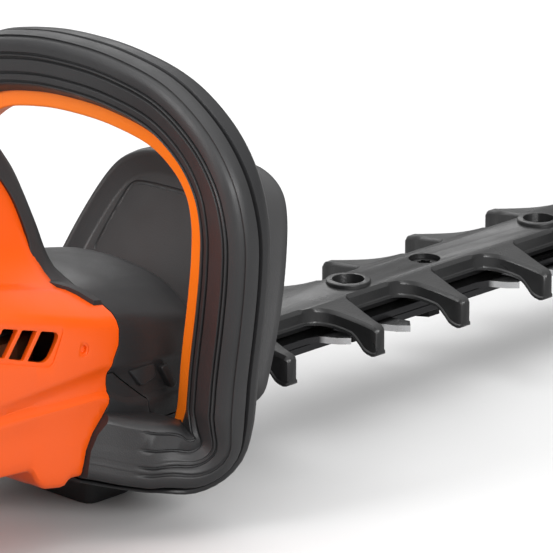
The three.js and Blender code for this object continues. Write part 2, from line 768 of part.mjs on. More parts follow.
/** The rubber trim that runs up the riser and over the back of the rear handle. */
function rearGrip() {
  const half = HANDLE_HALF + 1;
  const skin = prism(rounded(offset(HANDLE_OUTLINE, -3.4), 14), "y", [-half, half], 4, 2);
  const core = prism(rounded(offset(HANDLE_OUTLINE, -GAP), 12), "y", [-60, 60]);
  const reach = box(GRIP_REACH, [-60, 60], [101.6, 200]);
  const window = box([LOCK.x[0] - 3, LOCK.x[1] + 3], [-8, 8], [140, 170]);
  const panel = box([-92, -68], [-11, 11], [146, 170]);
  return cut(skin.intersect(reach), core, window, panel);
}
piece("rear_grip", rearGrip(), RUBBER);

/** The trigger, a curved lever that hangs under the rear handle and turns about its front end. */
function trigger() {
  const [px, pz] = TRIGGER.pivot;
  const side = [
    [px + 3.4, pz - 3.4],
    [px + 3.4, pz + 3.4],
    [px - 6, pz + 4],
    [TRIGGER.rear + 4, pz + 2],
    [TRIGGER.rear, pz - 4],
    [TRIGGER.rear + 10, pz - 12],
    [px - 12, pz - 8],
  ];
  const lever = prism(rounded(side, 3), "y", [-TRIGGER.half, TRIGGER.half], 1, 1);
  return lever.subtract(rod("y", 1.6, [-20, 20], [px, pz], 12));
}
piece("throttle_trigger", trigger(), BLACK);
piece("trigger_pin", rod("y", 1.5, [-9, 9], TRIGGER.pivot, 12), STEEL);
piece("lock_button", box(LOCK.x, [-LOCK.half, LOCK.half], [LOCK.bottom, LOCK.top]), BRIGHT_ORANGE);
piece("trigger_switch", box([-176, -154], [-7, 7], [128, 140]), BLACK);

/** The control panel, with holes for its power button and status lamp. */
const panelOutline = rounded(rectangle([-10.5, 10.5], [-PANEL.half, PANEL.half]), 4);
const panelPlate = prism(panelOutline, "z", [0, PANEL.thickness]);
const buttonHole = rod("z", 4.6, [-1, 5], [-3.5, 0], 20);
piece("control_panel", panelPart(cut(panelPlate, buttonHole, rod("z", 1.6, [-1, 5], [6.5, 0], 12))), BLACK);

piece("power_button", panelPart(rod("z", 4.2, [0.4, 4], [-3.5, 0], 20)), BRIGHT_ORANGE);

// ---------------------------------------------------------------- battery and electronics

/** The battery case: a hollow box, open towards the housing where its terminals are. */
function batteryCase() {
  const { front, rear, half, bottom, top } = BATTERY;
  const side = rounded(
    [
      [front, bottom],
      [front, top],
      [BODY.rear - 4, top],
      [rear, top - 14],
      [rear, bottom + 6],
      [rear + 8, bottom],
    ].reverse(),
    4,
  );
  const plan = rounded(rectangle([rear, front], [-half, half]), 7);
  let shell = prism(side, "y", [-half, half]).intersect(prism(plan, "z", [bottom - 5, top + 5]));
  shell = shell.subtract(box([rear + 12, front + 5], [-half + 3, half - 3], [bottom + 3, top - 3]));
  const seat = box([rear + 3, rear + 19], [half - 6.5, half + 4], [48, 68]);
  return shell.subtract(bothSides(seat));
}
piece("battery_case", batteryCase(), BLACK);

/** Eight cells in two rows, joined by their weld strips. */
function cellPack() {
  let pack = box([-304, -234], [-3, 3], [40, 70]);
  for (let k = 0; k < 4; k++) {
    for (const row of [-1, 1]) {
      pack = pack.add(rod("y", 9.2, [-28, 28], [-295 + k * 18.2, 55.5 + row * 9.1], 10));
    }
  }
  return pack;
}
piece("battery_cells", cellPack(), ALUMINIUM);
piece("battery_terminals", box([-226.6, -219], [-16, 16], [50, 62]), BLACK);


const latchReach = [BATTERY.half - 3.4, BATTERY.half + 1.4];
const latch = box([BATTERY.rear + 3.6, BATTERY.rear + 18.4], latchReach, [48.6, 67.4]);
piece("battery_latch_right", mirrorY(latch), BRIGHT_ORANGE);
piece("battery_latch_left", latch, BRIGHT_ORANGE);
piece("control_board", box([-200, -98], [-28, 28], [50, 52]), BOARD_GREEN);

// ---------------------------------------------------------------- feet and screws

const frontPad = prism(rounded(rectangle([-15, 7], [-14, 14]), 5), "z", [SOLE, 24], 1, 1);
piece("front_foot", frontPad.subtract(frontForm().translate([0, 0, -GAP])), RUBBER);
piece("rear_foot", prism(rounded(rectangle([-298, -236], [-20, 20]), 5), "z", [SOLE, 21.7], 1, 1), RUBBER);

export default trimmer;
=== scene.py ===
"""Cordless hedge trimmer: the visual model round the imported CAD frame.

Shapes are written in millimetres, with +X forward to the blade tip, +Y to the operator's left and
+Z up. SOLE is the height of the feet's soles in those figures, so place() lowers each point by it.
"""

import math

import bmesh
import bpy
from mathutils import Matrix, Vector


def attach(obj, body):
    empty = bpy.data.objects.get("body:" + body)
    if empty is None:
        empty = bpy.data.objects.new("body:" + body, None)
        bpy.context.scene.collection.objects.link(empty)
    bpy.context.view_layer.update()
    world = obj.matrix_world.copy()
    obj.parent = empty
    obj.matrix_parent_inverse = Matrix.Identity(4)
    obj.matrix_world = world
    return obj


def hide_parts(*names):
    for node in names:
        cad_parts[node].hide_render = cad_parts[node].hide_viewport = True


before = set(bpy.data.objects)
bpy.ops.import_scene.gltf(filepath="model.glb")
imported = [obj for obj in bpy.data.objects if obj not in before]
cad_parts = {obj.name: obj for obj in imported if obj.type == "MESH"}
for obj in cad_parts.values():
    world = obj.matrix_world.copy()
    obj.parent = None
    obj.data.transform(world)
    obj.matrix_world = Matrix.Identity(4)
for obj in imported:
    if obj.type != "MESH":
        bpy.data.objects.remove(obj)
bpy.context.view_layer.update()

MM = 0.001
SOLE = 8.0
GAP = 0.3  # between the housing's two halves

# ---------------------------------------------------------------- numbers and lines


def smoothstep(start, end, value):
    """0 before start, 1 after end, and a soft ramp between them."""
    t = max(0.0, min(1.0, (value - start) / (end - start)))
    return t * t * (3 - 2 * t)


def lerp(a, b, t):
    """The value a share t of the way from a to b."""
    return a + (b - a) * t


def lookup(table, x):
    """The value at x of a table of (x, value) rows with x rising, straight between rows."""
    if x <= table[0][0]:
        return table[0][1]
    for (x0, v0), (x1, v1) in zip(table, table[1:]):
        if x <= x1:
            return lerp(v0, v1, (x - x0) / (x1 - x0))
    return table[-1][1]


def soft_lookup(table, x, reach=3.0):
    """lookup() averaged over a short reach, so that the table's corners come out rounded."""
    taps = (-1, -0.5, 0, 0.5, 1)
    return sum(lookup(table, x + reach * k) for k in taps) / len(taps)


DENSE = 16  # trial points on a spline between two of its given points


def spline(points, step):
    """Evenly spaced points on a smooth line through the given points."""
    pts = [Vector(p) for p in points]
    count = len(pts)
    dense = []
    for i in range(count - 1):
        b, c = pts[i], pts[i + 1]
        a = pts[i - 1] if i else b * 2 - c
        d = pts[i + 2] if i + 2 < count else c * 2 - b
        for k in range(DENSE):
            t = k / DENSE
            dense.append(
                0.5 * ((2 * b) + (c - a) * t + (2 * a - 5 * b + 4 * c - d) * t * t
                       + (3 * b - 3 * c + d - a) * t ** 3))
    dense.append(pts[-1])
    lengths = [0.0]
    for p, q in zip(dense, dense[1:]):
        lengths.append(lengths[-1] + (q - p).length)
    total = lengths[-1]
    pieces = max(2, round(total / step))
    line, j = [], 0
    for k in range(pieces + 1):
        want = total * k / pieces
        while j < len(dense) - 2 and lengths[j + 1] < want:
            j += 1
        span = lengths[j + 1] - lengths[j] or 1.0
        line.append(dense[j].lerp(dense[j + 1], (want - lengths[j]) / span))
    return line


def rounded(corners, radius, steps=6):
    """A closed outline of flat points with each corner rounded off."""
    pts = [Vector(p) for p in corners]
    out = []
    for i, corner in enumerate(pts):
        back = pts[i - 1] - corner
        ahead = pts[(i + 1) % len(pts)] - corner
        r = radius[i] if isinstance(radius, (list, tuple)) else radius
        enter = corner + back.normalized() * min(r, back.length * 0.45)
        leave = corner + ahead.normalized() * min(r, ahead.length * 0.45)
        for k in range(steps + 1):
            t = k / steps
            out.append(enter * (1 - t) ** 2 + corner * 2 * t * (1 - t) + leave * t * t)
    return [tuple(p) for p in out]


def rectangle(x0, x1, y0, y1):
    """A closed outline from its limits."""
    return [(x0, y0), (x1, y0), (x1, y1), (x0, y1)]


def circle(radius, sides, centre):
    """A closed outline of evenly spaced points round a centre."""
    angles = [2 * math.pi * k / sides for k in range(sides)]
    return [(centre[0] + radius * math.cos(a), centre[1] + radius * math.sin(a)) for a in angles]


# ---------------------------------------------------------------- mesh makers


def place(point):
    """A millimetre point as a point of the frame, in metres."""
    return Vector((point[0] * MM, point[1] * MM, (point[2] - SOLE) * MM))


def linked(name, data):
    """A new object in the scene."""
    obj = bpy.data.objects.new(name, data)
    bpy.context.scene.collection.objects.link(obj)
    return obj


def solid(name, points, faces):
    """A closed mesh object from millimetre points, with its faces turned outwards."""
    mesh = bpy.data.meshes.new(name)
    mesh.from_pydata([place(p) for p in points], [], faces)
    work = bmesh.new()
    work.from_mesh(mesh)
    bmesh.ops.recalc_face_normals(work, faces=work.faces)
    work.to_mesh(mesh)
    work.free()
    return linked(name, mesh)


def loft(name, rings):
    """A closed skin over rings that all have the same number of points."""
    size = len(rings[0])
    points = [p for ring in rings for p in ring]
    faces = []
    for a in range(0, len(points) - size, size):
        b = a + size
        for k in range(size):
            n = (k + 1) % size
            faces.append((a + k, a + n, b + n, b + k))
    faces.append(tuple(range(size)))
    faces.append(tuple(range(len(points) - size, len(points))))
    return solid(name, points, faces)


def merged(name, parts):
    """Several separate closed skins as one mesh object."""
    work = bmesh.new()
    for part in parts:
        work.from_mesh(part.data)
        bpy.data.objects.remove(part)
    mesh = bpy.data.meshes.new(name)
    work.to_mesh(mesh)
    work.free()
    return linked(name, mesh)


AXES = {
    "x": lambda u, v, w: (w, u, v),
    "y": lambda u, v, w: (u, w, v),
    "z": lambda u, v, w: (u, v, w),
}


def prism(outline, axis, low, high, edge=0.0, name="prism"):
    """A flat outline pushed along an axis; edge rounds both of its rims."""
    spot = AXES[axis]
    levels = [(low, 0.0), (high, 0.0)]
    if edge:
        turns = [math.pi / 2 * k / 3 for k in range(4)]
        start = [(low + edge * (1 - math.sin(a)), edge * (1 - math.cos(a)))
                 for a in reversed(turns)]
        levels = start + [(low + high - w, inset) for w, inset in reversed(start)]
    rings = [[spot(u, v, w) for u, v in shrink(outline, inset)] for w, inset in levels]
    return loft(name, rings)


def shrink(outline, distance):
    """A closed outline moved inwards by a distance, corner by corner."""
    if not distance:
        return outline
    area = sum(a[0] * b[1] - b[0] * a[1] for a, b in zip(outline, outline[1:] + outline[:1]))
    turn = 1 if area > 0 else -1
    out = []
    for i, p in enumerate(outline):
        p = Vector(p)
        before = p - Vector(outline[i - 1])
        after = Vector(outline[(i + 1) % len(outline)]) - p
        if before.length < 1e-6:
            before = after
        if after.length < 1e-6:
            after = before
        a, b = before.normalized(), after.normalized()
        normal = Vector((-a.y - b.y, a.x + b.x)) * turn
        out.append(tuple(p + normal * distance / max(0.4, 1 + a.dot(b))))
    return out


def block(x, y, z):
    """A box from its x, y and z ranges."""
    return prism(rectangle(*x, *y), "z", *z, name="block")


def rod(axis, radius, low, high, centre, sides, edge=0.0):
    """A round bar along an axis."""
    return prism(circle(radius, sides, centre), axis, low, high, edge, name="rod")


def tube(points, radius, sides=10):
    """A round tube through points, for cutting a groove."""
    rings = []
    pts = [Vector(p) for p in points]
    for i, p in enumerate(pts):
        along = (pts[min(i + 1, len(pts) - 1)] - pts[max(i - 1, 0)]).normalized()
        side = along.cross(Vector((1, 0, 0))).normalized()
        up = side.cross(along)
        angles = [2 * math.pi * k / sides for k in range(sides)]
        rings.append([tuple(p + (side * math.cos(a) + up * math.sin(a)) * radius) for a in angles])
    return loft("tube", rings)


def bake(obj):
    """Applies every modifier of an object to its mesh."""
    graph = bpy.context.evaluated_depsgraph_get()
    mesh = bpy.data.meshes.new_from_object(obj.evaluated_get(graph))
    old = obj.data
    obj.modifiers.clear()
    obj.data = mesh
    bpy.data.meshes.remove(old)


def combine(obj, operation, *tools):
    """Joins, cuts or intersects an object with tool objects, which are used up."""
    for tool in tools:
        modifier = obj.modifiers.new("combine", "BOOLEAN")
        modifier.operation = operation
        modifier.solver = "MANIFOLD"
        modifier.object = tool
        bake(obj)
        if not obj.data.polygons:
            raise RuntimeError(f"{obj.name} came to nothing in a {operation}")
        bpy.data.objects.remove(tool)
    return obj


def join(obj, *tools):
    return combine(obj, "UNION", *tools)


def cut(obj, *tools):
    return combine(obj, "DIFFERENCE", *tools)


def overlap(obj, *tools):
    return combine(obj, "INTERSECT", *tools)


def copy_of(obj, name):
    return linked(name, obj.data.copy())


def mirrored(obj, name):
    """A copy on the other side of the trimmer's middle plane."""
    twin = copy_of(obj, name)
    twin.data.transform(Matrix.Scale(-1, 4, (0, 1, 0)))
    twin.data.flip_normals()
    return twin


WELD = 0.00004  # metres


def tidy_mesh(obj):
    """Welds the points that a cut leaves almost on top of each other."""
    work = bmesh.new()
    work.from_mesh(obj.data)
    bmesh.ops.remove_doubles(work, verts=work.verts, dist=WELD)
    bmesh.ops.dissolve_degenerate(work, edges=work.edges, dist=WELD)
    work.to_mesh(obj.data)
    work.free()


# ---------------------------------------------------------------- materials


CLOUD = 18  # scale of a finish's colour patches; its roughness patches are six times finer
GRAIN_DEPTH = 0.0002


def noise(tree, scale, detail, stretch):
    """A noise texture in the object's own coordinates."""
    where = tree.nodes.new("ShaderNodeTexCoord")
    mapping = tree.nodes.new("ShaderNodeMapping")
    mapping.inputs["Scale"].default_value = stretch
    texture = tree.nodes.new("ShaderNodeTexNoise")
    texture.inputs["Scale"].default_value = scale
    texture.inputs["Detail"].default_value = detail
    tree.links.new(where.outputs["Object"], mapping.inputs["Vector"])
    tree.links.new(mapping.outputs["Vector"], texture.inputs["Vector"])
    return texture.outputs["Fac"]


def ranged(tree, value, low, high):
    """The middle of a noise's values, where most of them are, spread between two limits."""
    node = tree.nodes.new("ShaderNodeMapRange")
    node.inputs["From Min"].default_value = 0.3
    node.inputs["From Max"].default_value = 0.7
    node.inputs["To Min"].default_value = low
    node.inputs["To Max"].default_value = high
    tree.links.new(value, node.inputs["Value"])
    return node.outputs["Result"]


def finish(name, low, high, rough, grain, bump, metallic=0.0, specular=0.5, stretch=(1, 1, 1),
           coat=0.0):
    """A moulded, cast or brushed finish: two close colours, uneven roughness and a fine grain."""
    material = bpy.data.materials.new(name)
    material.use_nodes = True
    tree = material.node_tree
    shader = tree.nodes["Principled BSDF"]
    shader.inputs["Metallic"].default_value = metallic
    shader.inputs["Specular IOR Level"].default_value = specular
    shader.inputs["Coat Weight"].default_value = coat
    shader.inputs["Coat Roughness"].default_value = 0.25
    mix = tree.nodes.new("ShaderNodeMix")
    mix.data_type = "RGBA"
    mix.inputs["A"].default_value = (*low, 1)
    mix.inputs["B"].default_value = (*high, 1)
    clouds = ranged(tree, noise(tree, CLOUD, 3.0, stretch), 0.0, 1.0)
    tree.links.new(clouds, mix.inputs["Factor"])
    tree.links.new(mix.outputs["Result"], shader.inputs["Base Color"])
    patches = ranged(tree, noise(tree, CLOUD * 6, 5.0, stretch), *rough)
    tree.links.new(patches, shader.inputs["Roughness"])
    relief = tree.nodes.new("ShaderNodeBump")
    relief.inputs["Strength"].default_value = bump
    relief.inputs["Distance"].default_value = GRAIN_DEPTH
    tree.links.new(noise(tree, grain, 6.0, stretch), relief.inputs["Height"])
    tree.links.new(relief.outputs["Normal"], shader.inputs["Normal"])
    return material


BRUSHED = (0.06, 1, 1)  # stretches a grain along the blade
ORANGE = finish("orange_shell", (0.84, 0.094, 0.002), (0.90, 0.106, 0.003), (0.30, 0.38), 1500, 0.12,
                coat=0.08)
BRIGHT_ORANGE = finish("bright_orange", (1.0, 0.20, 0.004), (1.0, 0.22, 0.005), (0.42, 0.52), 1500, 0.12)
RUBBER = finish("grip_rubber", (0.018, 0.018, 0.019), (0.025, 0.025, 0.026), (0.42, 0.54), 2200, 0.3)
DARK = finish("dark_plastic", (0.020, 0.020, 0.021), (0.027, 0.027, 0.028), (0.34, 0.44), 1700, 0.22,
              specular=0.28)
# The guard's plastic is the dark plastic made lighter: its lighter colour is a painted sheen for the light
# that the guard's rear face reflects.
GUARD_SHEEN_GREY = finish("guard_plastic", (0.036, 0.036, 0.037), (0.045, 0.045, 0.046), (0.34, 0.44), 1700,
                    0.22, specular=0.4)
BLACK = finish("black_plastic", (0.009, 0.009, 0.009), (0.014, 0.014, 0.014), (0.42, 0.56), 1600, 0.25)
BAR_GREY = finish("bar_coating", (0.012, 0.0121, 0.0124), (0.017, 0.0171, 0.0175), (0.27, 0.36), 1300,
                  0.3, specular=0.44)
STEEL = finish("blade_steel", (0.60, 0.61, 0.62), (0.72, 0.72, 0.73), (0.22, 0.34), 900, 0.2,
               metallic=1.0, stretch=BRUSHED)
BLACK_METAL = finish("black_metal", (0.003, 0.003, 0.003), (0.005, 0.005, 0.005), (0.35, 0.5), 1200, 0.2,
                     specular=0.2)
CAST = finish("cast_metal", (0.4, 0.41, 0.42), (0.5, 0.5, 0.51), (0.45, 0.6), 700, 0.5, metallic=1.0)
COPPER = finish("copper", (0.6, 0.25, 0.12), (0.7, 0.32, 0.16), (0.3, 0.45), 900, 0.3, metallic=1.0)
BOARD = finish("board", (0.01, 0.09, 0.04), (0.015, 0.12, 0.05), (0.4, 0.6), 900, 0.2)
CELL = finish("cell_sleeve", (0.3, 0.32, 0.34), (0.36, 0.38, 0.4), (0.35, 0.5), 900, 0.2, metallic=0.8)


def paint_spine_shade(material, reach):
    """Paints shade on a blade's middle, which lies in the shade of the guard bar, out to a distance from
    its centre line.
    """
    tree = material.node_tree
    shader = tree.nodes["Principled BSDF"]
    bare = shader.inputs["Base Color"].links[0].from_socket
    where = tree.nodes.new("ShaderNodeTexCoord")
    axes = tree.nodes.new("ShaderNodeSeparateXYZ")
    across = tree.nodes.new("ShaderNodeMath")
    across.operation = "ABSOLUTE"
    shade_fade = tree.nodes.new("ShaderNodeMapRange")
    shade_fade.inputs["From Min"].default_value = (reach - 1) * MM
    shade_fade.inputs["From Max"].default_value = (reach + 1) * MM
    shade_mix = tree.nodes.new("ShaderNodeMix")
    shade_mix.data_type = "RGBA"
    shade_mix.inputs["A"].default_value = (0.05, 0.05, 0.052, 1)
    tree.links.new(where.outputs["Object"], axes.inputs["Vector"])
    tree.links.new(axes.outputs["Y"], across.inputs[0])
    tree.links.new(across.outputs["Value"], shade_fade.inputs["Value"])
    tree.links.new(shade_fade.outputs["Result"], shade_mix.inputs["Factor"])
    tree.links.new(bare, shade_mix.inputs["B"])
    tree.links.new(shade_mix.outputs["Result"], shader.inputs["Base Color"])


# The cutters' steel, with painted shade along its middle where the guard bar shades it; the support bar
# uses the same steel.
CUTTER_STEEL = finish("cutter_steel", (0.66, 0.67, 0.68), (0.78, 0.78, 0.79), (0.22, 0.34), 900, 0.2,
                      metallic=1.0, stretch=BRUSHED)
paint_spine_shade(CUTTER_STEEL, 15.5)

# ---------------------------------------------------------------- handing a piece in


def hand_in(obj, name, body, nodes, material, angle, edge=0.0, segments=2):
    """Shades a finished mesh, gives it its material and ties it to the frame."""
    obj.name = name
    tidy_mesh(obj)
    if edge:
        bevel = obj.modifiers.new("edge", "BEVEL")
        bevel.width = edge * MM
        bevel.segments = segments
        bevel.limit_method = "ANGLE"
        bevel.angle_limit = math.radians(angle)
        bevel.miter_outer = "MITER_ARC"
        bake(obj)
    mesh = obj.data
    mesh.shade_smooth()
    mesh.set_sharp_from_angle(angle=math.radians(angle))
    mesh.materials.clear()
    mesh.materials.append(material)
    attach(obj, body)
    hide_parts(*nodes)
    return obj


def refined(node, body, material, edge, segments=2):
    """A CAD node's own shape with its edges rounded."""
    twin = copy_of(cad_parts[node], node + "_skin")
    work = bmesh.new()
    work.from_mesh(twin.data)
    bmesh.ops.remove_doubles(work, verts=work.verts, dist=0.00001)
    bmesh.ops.dissolve_limit(work, angle_limit=math.radians(1.0), verts=work.verts, edges=work.edges)
    work.to_mesh(twin.data)
    work.free()
    return hand_in(twin, node + "_skin", body, [node], material, 30, edge, segments)


# ---------------------------------------------------------------- seam

FAR_BEHIND, FAR_OUT = -400, 90  # well past the body's rear end and its sides
# The joint between the orange housing and the grey front, as (x, z) from the bottom up.
SEAM = [
    (-40, 10), (-40, 33), (-38.6, 39), (-36, 44), (-32, 48.5), (-29.6, 52.5), (-29.6, 57), (-30, 62.5),
    (-28.6, 67), (-26.4, 71), (-25.8, 76), (-26.4, 81), (-28.2, 85), (-31, 88), (-33, 92), (-33, 200),
]


def behind_seam(shift=0.0):
    """Everything behind the joint between the housing and the grey front."""
    line = [(x + shift, z) for x, z in SEAM]
    outline = [(FAR_BEHIND, SEAM[0][1])] + line + [(FAR_BEHIND, SEAM[-1][1])]
    return prism(outline, "y", -FAR_OUT, FAR_OUT, name="behind")


# ---------------------------------------------------------------- loop handle and bail

# The right half of the loop's centre line, from its foot on the base up the leg to the crown.
LOOP_LINE = [
    (-46, -27.4, 41.5), (-39, -28.8, 40.6), (-33, -31.8, 39), (-25, -37.4, 36.6), (-16, -44.8, 34.6),
    (-8.5, -51.2, 33.2), (-3, -54.8, 36.4), (-0.8, -55.8, 43.5), (-0.1, -56.4, 51), (0, -57.5, 62),
    (0, -60.4, 81), (0, -62.1, 96), (0, -62.15, 109), (0, -59, 121), (0, -51, 131.5), (0, -37, 140),
    (0, -18, 144), (0, 0, 145),
]
LOOP_STEP = 1.6
# Lengths along the line, from the nearer foot, over which something changes.
LOOP_BEND = (34, 68)  # the foot's section turns into the leg's
FRAME_BEND = (44, 72)  # the outward direction turns from sideways into the leg's own
GROOVE_START = (30.5, 33.5)  # the grooves sink in
CHANNEL_START = (48, 53)  # the bail's channel opens
BAIL_START = 50  # the bail begins
CROWN_RISE = (100, 138)  # heights between which the leg's section turns into the crown's


class LoopFrame:
    """A place on the loop's line: its point, its outward and rearward directions, its run along the
    line from the nearer foot, and how much of the foot's section it has."""

    def __init__(self, point, outward, rearward, run):
        self.point, self.outward, self.rearward, self.run = point, outward, rearward, run
        self.foot = 1 - smoothstep(*LOOP_BEND, run)

    def at(self, rear, out):
        """The point a distance rearward and outward of this place."""
        return tuple(self.point + self.rearward * rear + self.outward * out)


def loop_frames():
    """Places all along the loop, from the right foot over the crown to the left foot."""
    line = spline(LOOP_LINE + [(x, -y, z) for x, y, z in reversed(LOOP_LINE[:-1])], LOOP_STEP)
    lengths = [0.0]
    for a, b in zip(line, line[1:]):
        lengths.append(lengths[-1] + (b - a).length)
    frames = []
    for i, p in enumerate(line):
        tangent = (line[min(i + 1, len(line) - 1)] - line[max(i - 1, 0)]).normalized()
        run = min(lengths[i], lengths[-1] - lengths[i])
        hand = -1 if p.y < 0 else 1
        leg = tangent.cross(Vector((-1, 0, 0))).normalized()
        foot = Vector((0, hand, 0))
        foot = (foot - tangent * foot.dot(tangent)).normalized()
        outward = foot.lerp(leg, smoothstep(*FRAME_BEND, run)).normalized()
        outward = (outward - tangent * outward.dot(tangent)).normalized()
        frames.append(LoopFrame(p, outward, outward.cross(tangent), run))
    return frames


# Points of each shell's section as (kind, leg, foot, crown, direction of a groove's width on the leg),
# where a place is (rearward, outward). A kind is a plain point, the floor of the bail's channel, or a
# kind of groove.
REAR_SHELL = [
    ("point", (-0.4, 11.6), (-10.6, 5.6), (1.6, 11.0)),
    ("point", (0.0, 12.5), (-10.4, 7.4), (2.0, 11.8)),
    ("point", (1.2, 12.7), (-9.6, 8.5), (2.8, 12.0)),
    ("point", (3.9, 12.65), (-8.0, 9.05), (4.4, 11.9)),
    ("point", (4.8, 12.5), (-7.2, 9.1), (5.6, 11.7)),
    ("soft", (5.9, 11.7), (-6.2, 9.1), (7.2, 10.7), (0.7, -0.7)),
    ("point", (7.2, 10.6), (-5.3, 9.15), (8.3, 9.6)),
    ("point", (8.2, 9.2), (-4.9, 9.15), (8.9, 8.2)),
    ("line", (8.95, 7.5), (-3.8, 9.1), (9.2, 5.6), (0.25, -0.95)),
    ("faint", (9.2, 6.1), (-2.2, 9.15), (9.25, 4.2), (0, -1)),
    ("point", (9.3, 4.2), (-1.1, 9.15), (9.3, 2.6)),
    ("point", (9.3, 1.6), (0.2, 9.15), (9.3, 1.0)),
    ("line", (9.2, -0.6), (1.8, 9.1), (9.25, -0.6), (0, -1)),
    ("lip", (9.1, -2.9), (7.4, 9.1), (9.2, -3.4), (0, -1)),
    ("point", (8.6, -4.2), (8.7, 8.8), (8.8, -4.5)),
    ("point", (7.8, -5.2), (9.9, 8.0), (8.0, -5.1)),
    ("point", (6.9, -6.1), (10.7, 6.4), (7.0, -5.8)),
    ("point", (6.0, -6.9), (11.1, 3.5), (6.1, -6.5)),
    ("point", (5.6, -7.3), (11.2, 0.0), (5.6, -7.0)),
    ("point", (5.4, -7.2), (11.2, -5.5), (5.4, -6.9)),
    ("floor", (5.3, -1.1), (6.0, -6.2), (5.3, -1.1)),
    ("floor", (-0.4, -1.1), (-10.6, -6.2), (1.6, -1.1)),
]
FRONT_SHELL = [
    ("point", (-1.3, 11.6), (-11.3, 4.6), (0.7, 11.0)),
    ("point", (-1.7, 12.5), (-11.6, 5.2), (0.3, 11.8)),
    ("point", (-3.4, 12.7), (-11.9, 5.4), (-2.0, 12.0)),
    ("point", (-5.0, 12.3), (-12.1, 5.2), (-4.4, 11.6)),
    ("point", (-6.4, 11.1), (-12.3, 4.6), (-6.0, 10.5)),
    ("point", (-7.2, 9.2), (-12.4, 3.7), (-7.0, 8.8)),
    ("point", (-7.5, 6.4), (-12.4, 2.5), (-7.5, 6.2)),
    ("point", (-7.6, 0.0), (-12.4, -0.5), (-7.6, 0.0)),
    ("point", (-7.4, -3.4), (-12.4, -2.5), (-7.4, -3.4)),
    ("point", (-6.8, -5.6), (-12.4, -4.2), (-6.8, -5.6)),
    ("point", (-5.6, -7.0), (-12.3, -5.4), (-5.6, -7.0)),
    ("point", (-4.3, -7.5), (-12.1, -6.1), (-4.3, -7.5)),
    ("point", (-4.0, -7.2), (-11.9, -6.3), (-4.0, -7.2)),
    ("floor", (-4.0, -1.1), (-11.7, -6.3), (-4.0, -1.1)),
    ("floor", (-1.3, -1.1), (-11.3, -6.2), (0.7, -1.1)),
]
CHANNEL_SHUT = -7.0  # how far outward the channel's floor lies before it opens
BAIL_SECTION = rounded(rectangle(-3.5, 4.8, -12.3, -5.6), [2.2, 1.0, 0.8, 0.8], 4)
BAIL_CENTRE = (0.65, -8.95)
BAIL_END_SIZES = (0.35, 0.75, 0.93, 1.0)  # of its last sections, which round its ends

# Half width and depth of the grooves that run along the loop.
GROOVES = {"line": (0.48, 1.05), "faint": (0.48, 1.05), "lip": (0.45, 0.9), "soft": (0.6, 0.75)}
# Across a groove, in half widths: (place, share of its depth).
GROOVE_SHAPE = ((-1.25, 0), (-0.95, 0.15), (-0.45, 1), (0.45, 1), (0.95, 0.15), (1.25, 0))


def shell_ring(section, spot):
    """One ring of a loop shell: grooves are pressed in, and the bail's channel opens above the foot."""
    ring = []
    depth = smoothstep(*GROOVE_START, spot.run)
    opened = smoothstep(*CHANNEL_START, spot.run)
    crown = smoothstep(*CROWN_RISE, spot.point.z)

    def add(leg, foot, top, sink=0.0):
        rear = lerp(lerp(leg[0], top[0], crown), foot[0], spot.foot) - sink * (1 - spot.foot)
        out = lerp(lerp(leg[1], top[1], crown), foot[1], spot.foot) - sink * spot.foot
        ring.append(spot.at(rear, out))

    for kind, leg, foot, top, *along in section:
        if kind == "floor":
            add((leg[0], lerp(CHANNEL_SHUT, leg[1], opened)), foot, top)
        elif kind in GROOVES:
            width, press = GROOVES[kind]
            if kind == "faint":
                press *= 1 - spot.foot
            for step, share in GROOVE_SHAPE:
                move = Vector(along[0]) * step * width
                add((leg[0] + move.x, leg[1] + move.y), (foot[0] + step * width, foot[1]),
                    (top[0] + move.x, top[1] + move.y), press * share * depth)
        else:
            add(leg, foot, top)
    return ring


frames = loop_frames()
rear_shell = loft("rear_shell", [shell_ring(REAR_SHELL, f) for f in frames])
cut(rear_shell, behind_seam(0.4))
hand_in(rear_shell, "loop_grip", "frame", ["loop_handle_rear"], RUBBER, 38)
front_shell = loft("front_shell", [shell_ring(FRONT_SHELL, f) for f in frames])
cut(front_shell, behind_seam(0.4))
hand_in(front_shell, "loop_front_shell", "frame", ["loop_handle_front"], DARK, 38)

bail_rings = []
bail_frames = [f for f in frames if f.run > BAIL_START]
for i, spot in enumerate(bail_frames):
    near_end = min(i, len(bail_frames) - 1 - i)
    size = BAIL_END_SIZES[min(near_end, len(BAIL_END_SIZES) - 1)]
    rear, out = BAIL_CENTRE
    bail_rings.append([spot.at(rear + (r - rear) * size, out + (n - out) * size)
                       for r, n in BAIL_SECTION])
hand_in(loft("bail", bail_rings), "bail_bar", "bail", ["front_bail"], BRIGHT_ORANGE,
        40)

# ---------------------------------------------------------------- body and grey front

BODY_REAR, BODY_FRONT, BODY_HALF = -300, 17, 40
# Lines along the body, as (x, height), (x, half width) or (x, share).
TOP = [
    (-300, 97), (-215, 97), (-190, 92), (-94, 95), (-78, 99.4), (-30, 87), (-20, 86), (9.5, 79.4),
    (11, 75.4), (15, 73), (17, 70),
]
BULGE = [(-34, 0.8), (-24, 2), (9, 4.4), (12, 3), (17, 1)]  # how far the top's middle rises over its sides
BOTTOM = [
    (-300, 22), (-205, 22), (-188, 41), (-90, 40), (-60.5, 37.6), (-59.5, 34), (-55.5, 30.3),
    (-47, 28.7), (-44.8, 30.9), (-40, 30.6), (-30, 27.5), (-20, 23), (-14, 20), (0, 17), (8, 16),
    (14, 18), (17, 22),
]
KEEL = [
    (-300, 22), (-205, 22), (-188, 41), (-90, 40), (-57, 38), (-50, 27), (-46, 25.5), (-40, 25.5),
    (-14, 19), (5, 14.4), (13, 16), (17, 20),
]
HALF_WIDTH = [(-300, 40), (3, 40), (8, 39.2), (12, 37), (15, 33.5), (17, 29)]
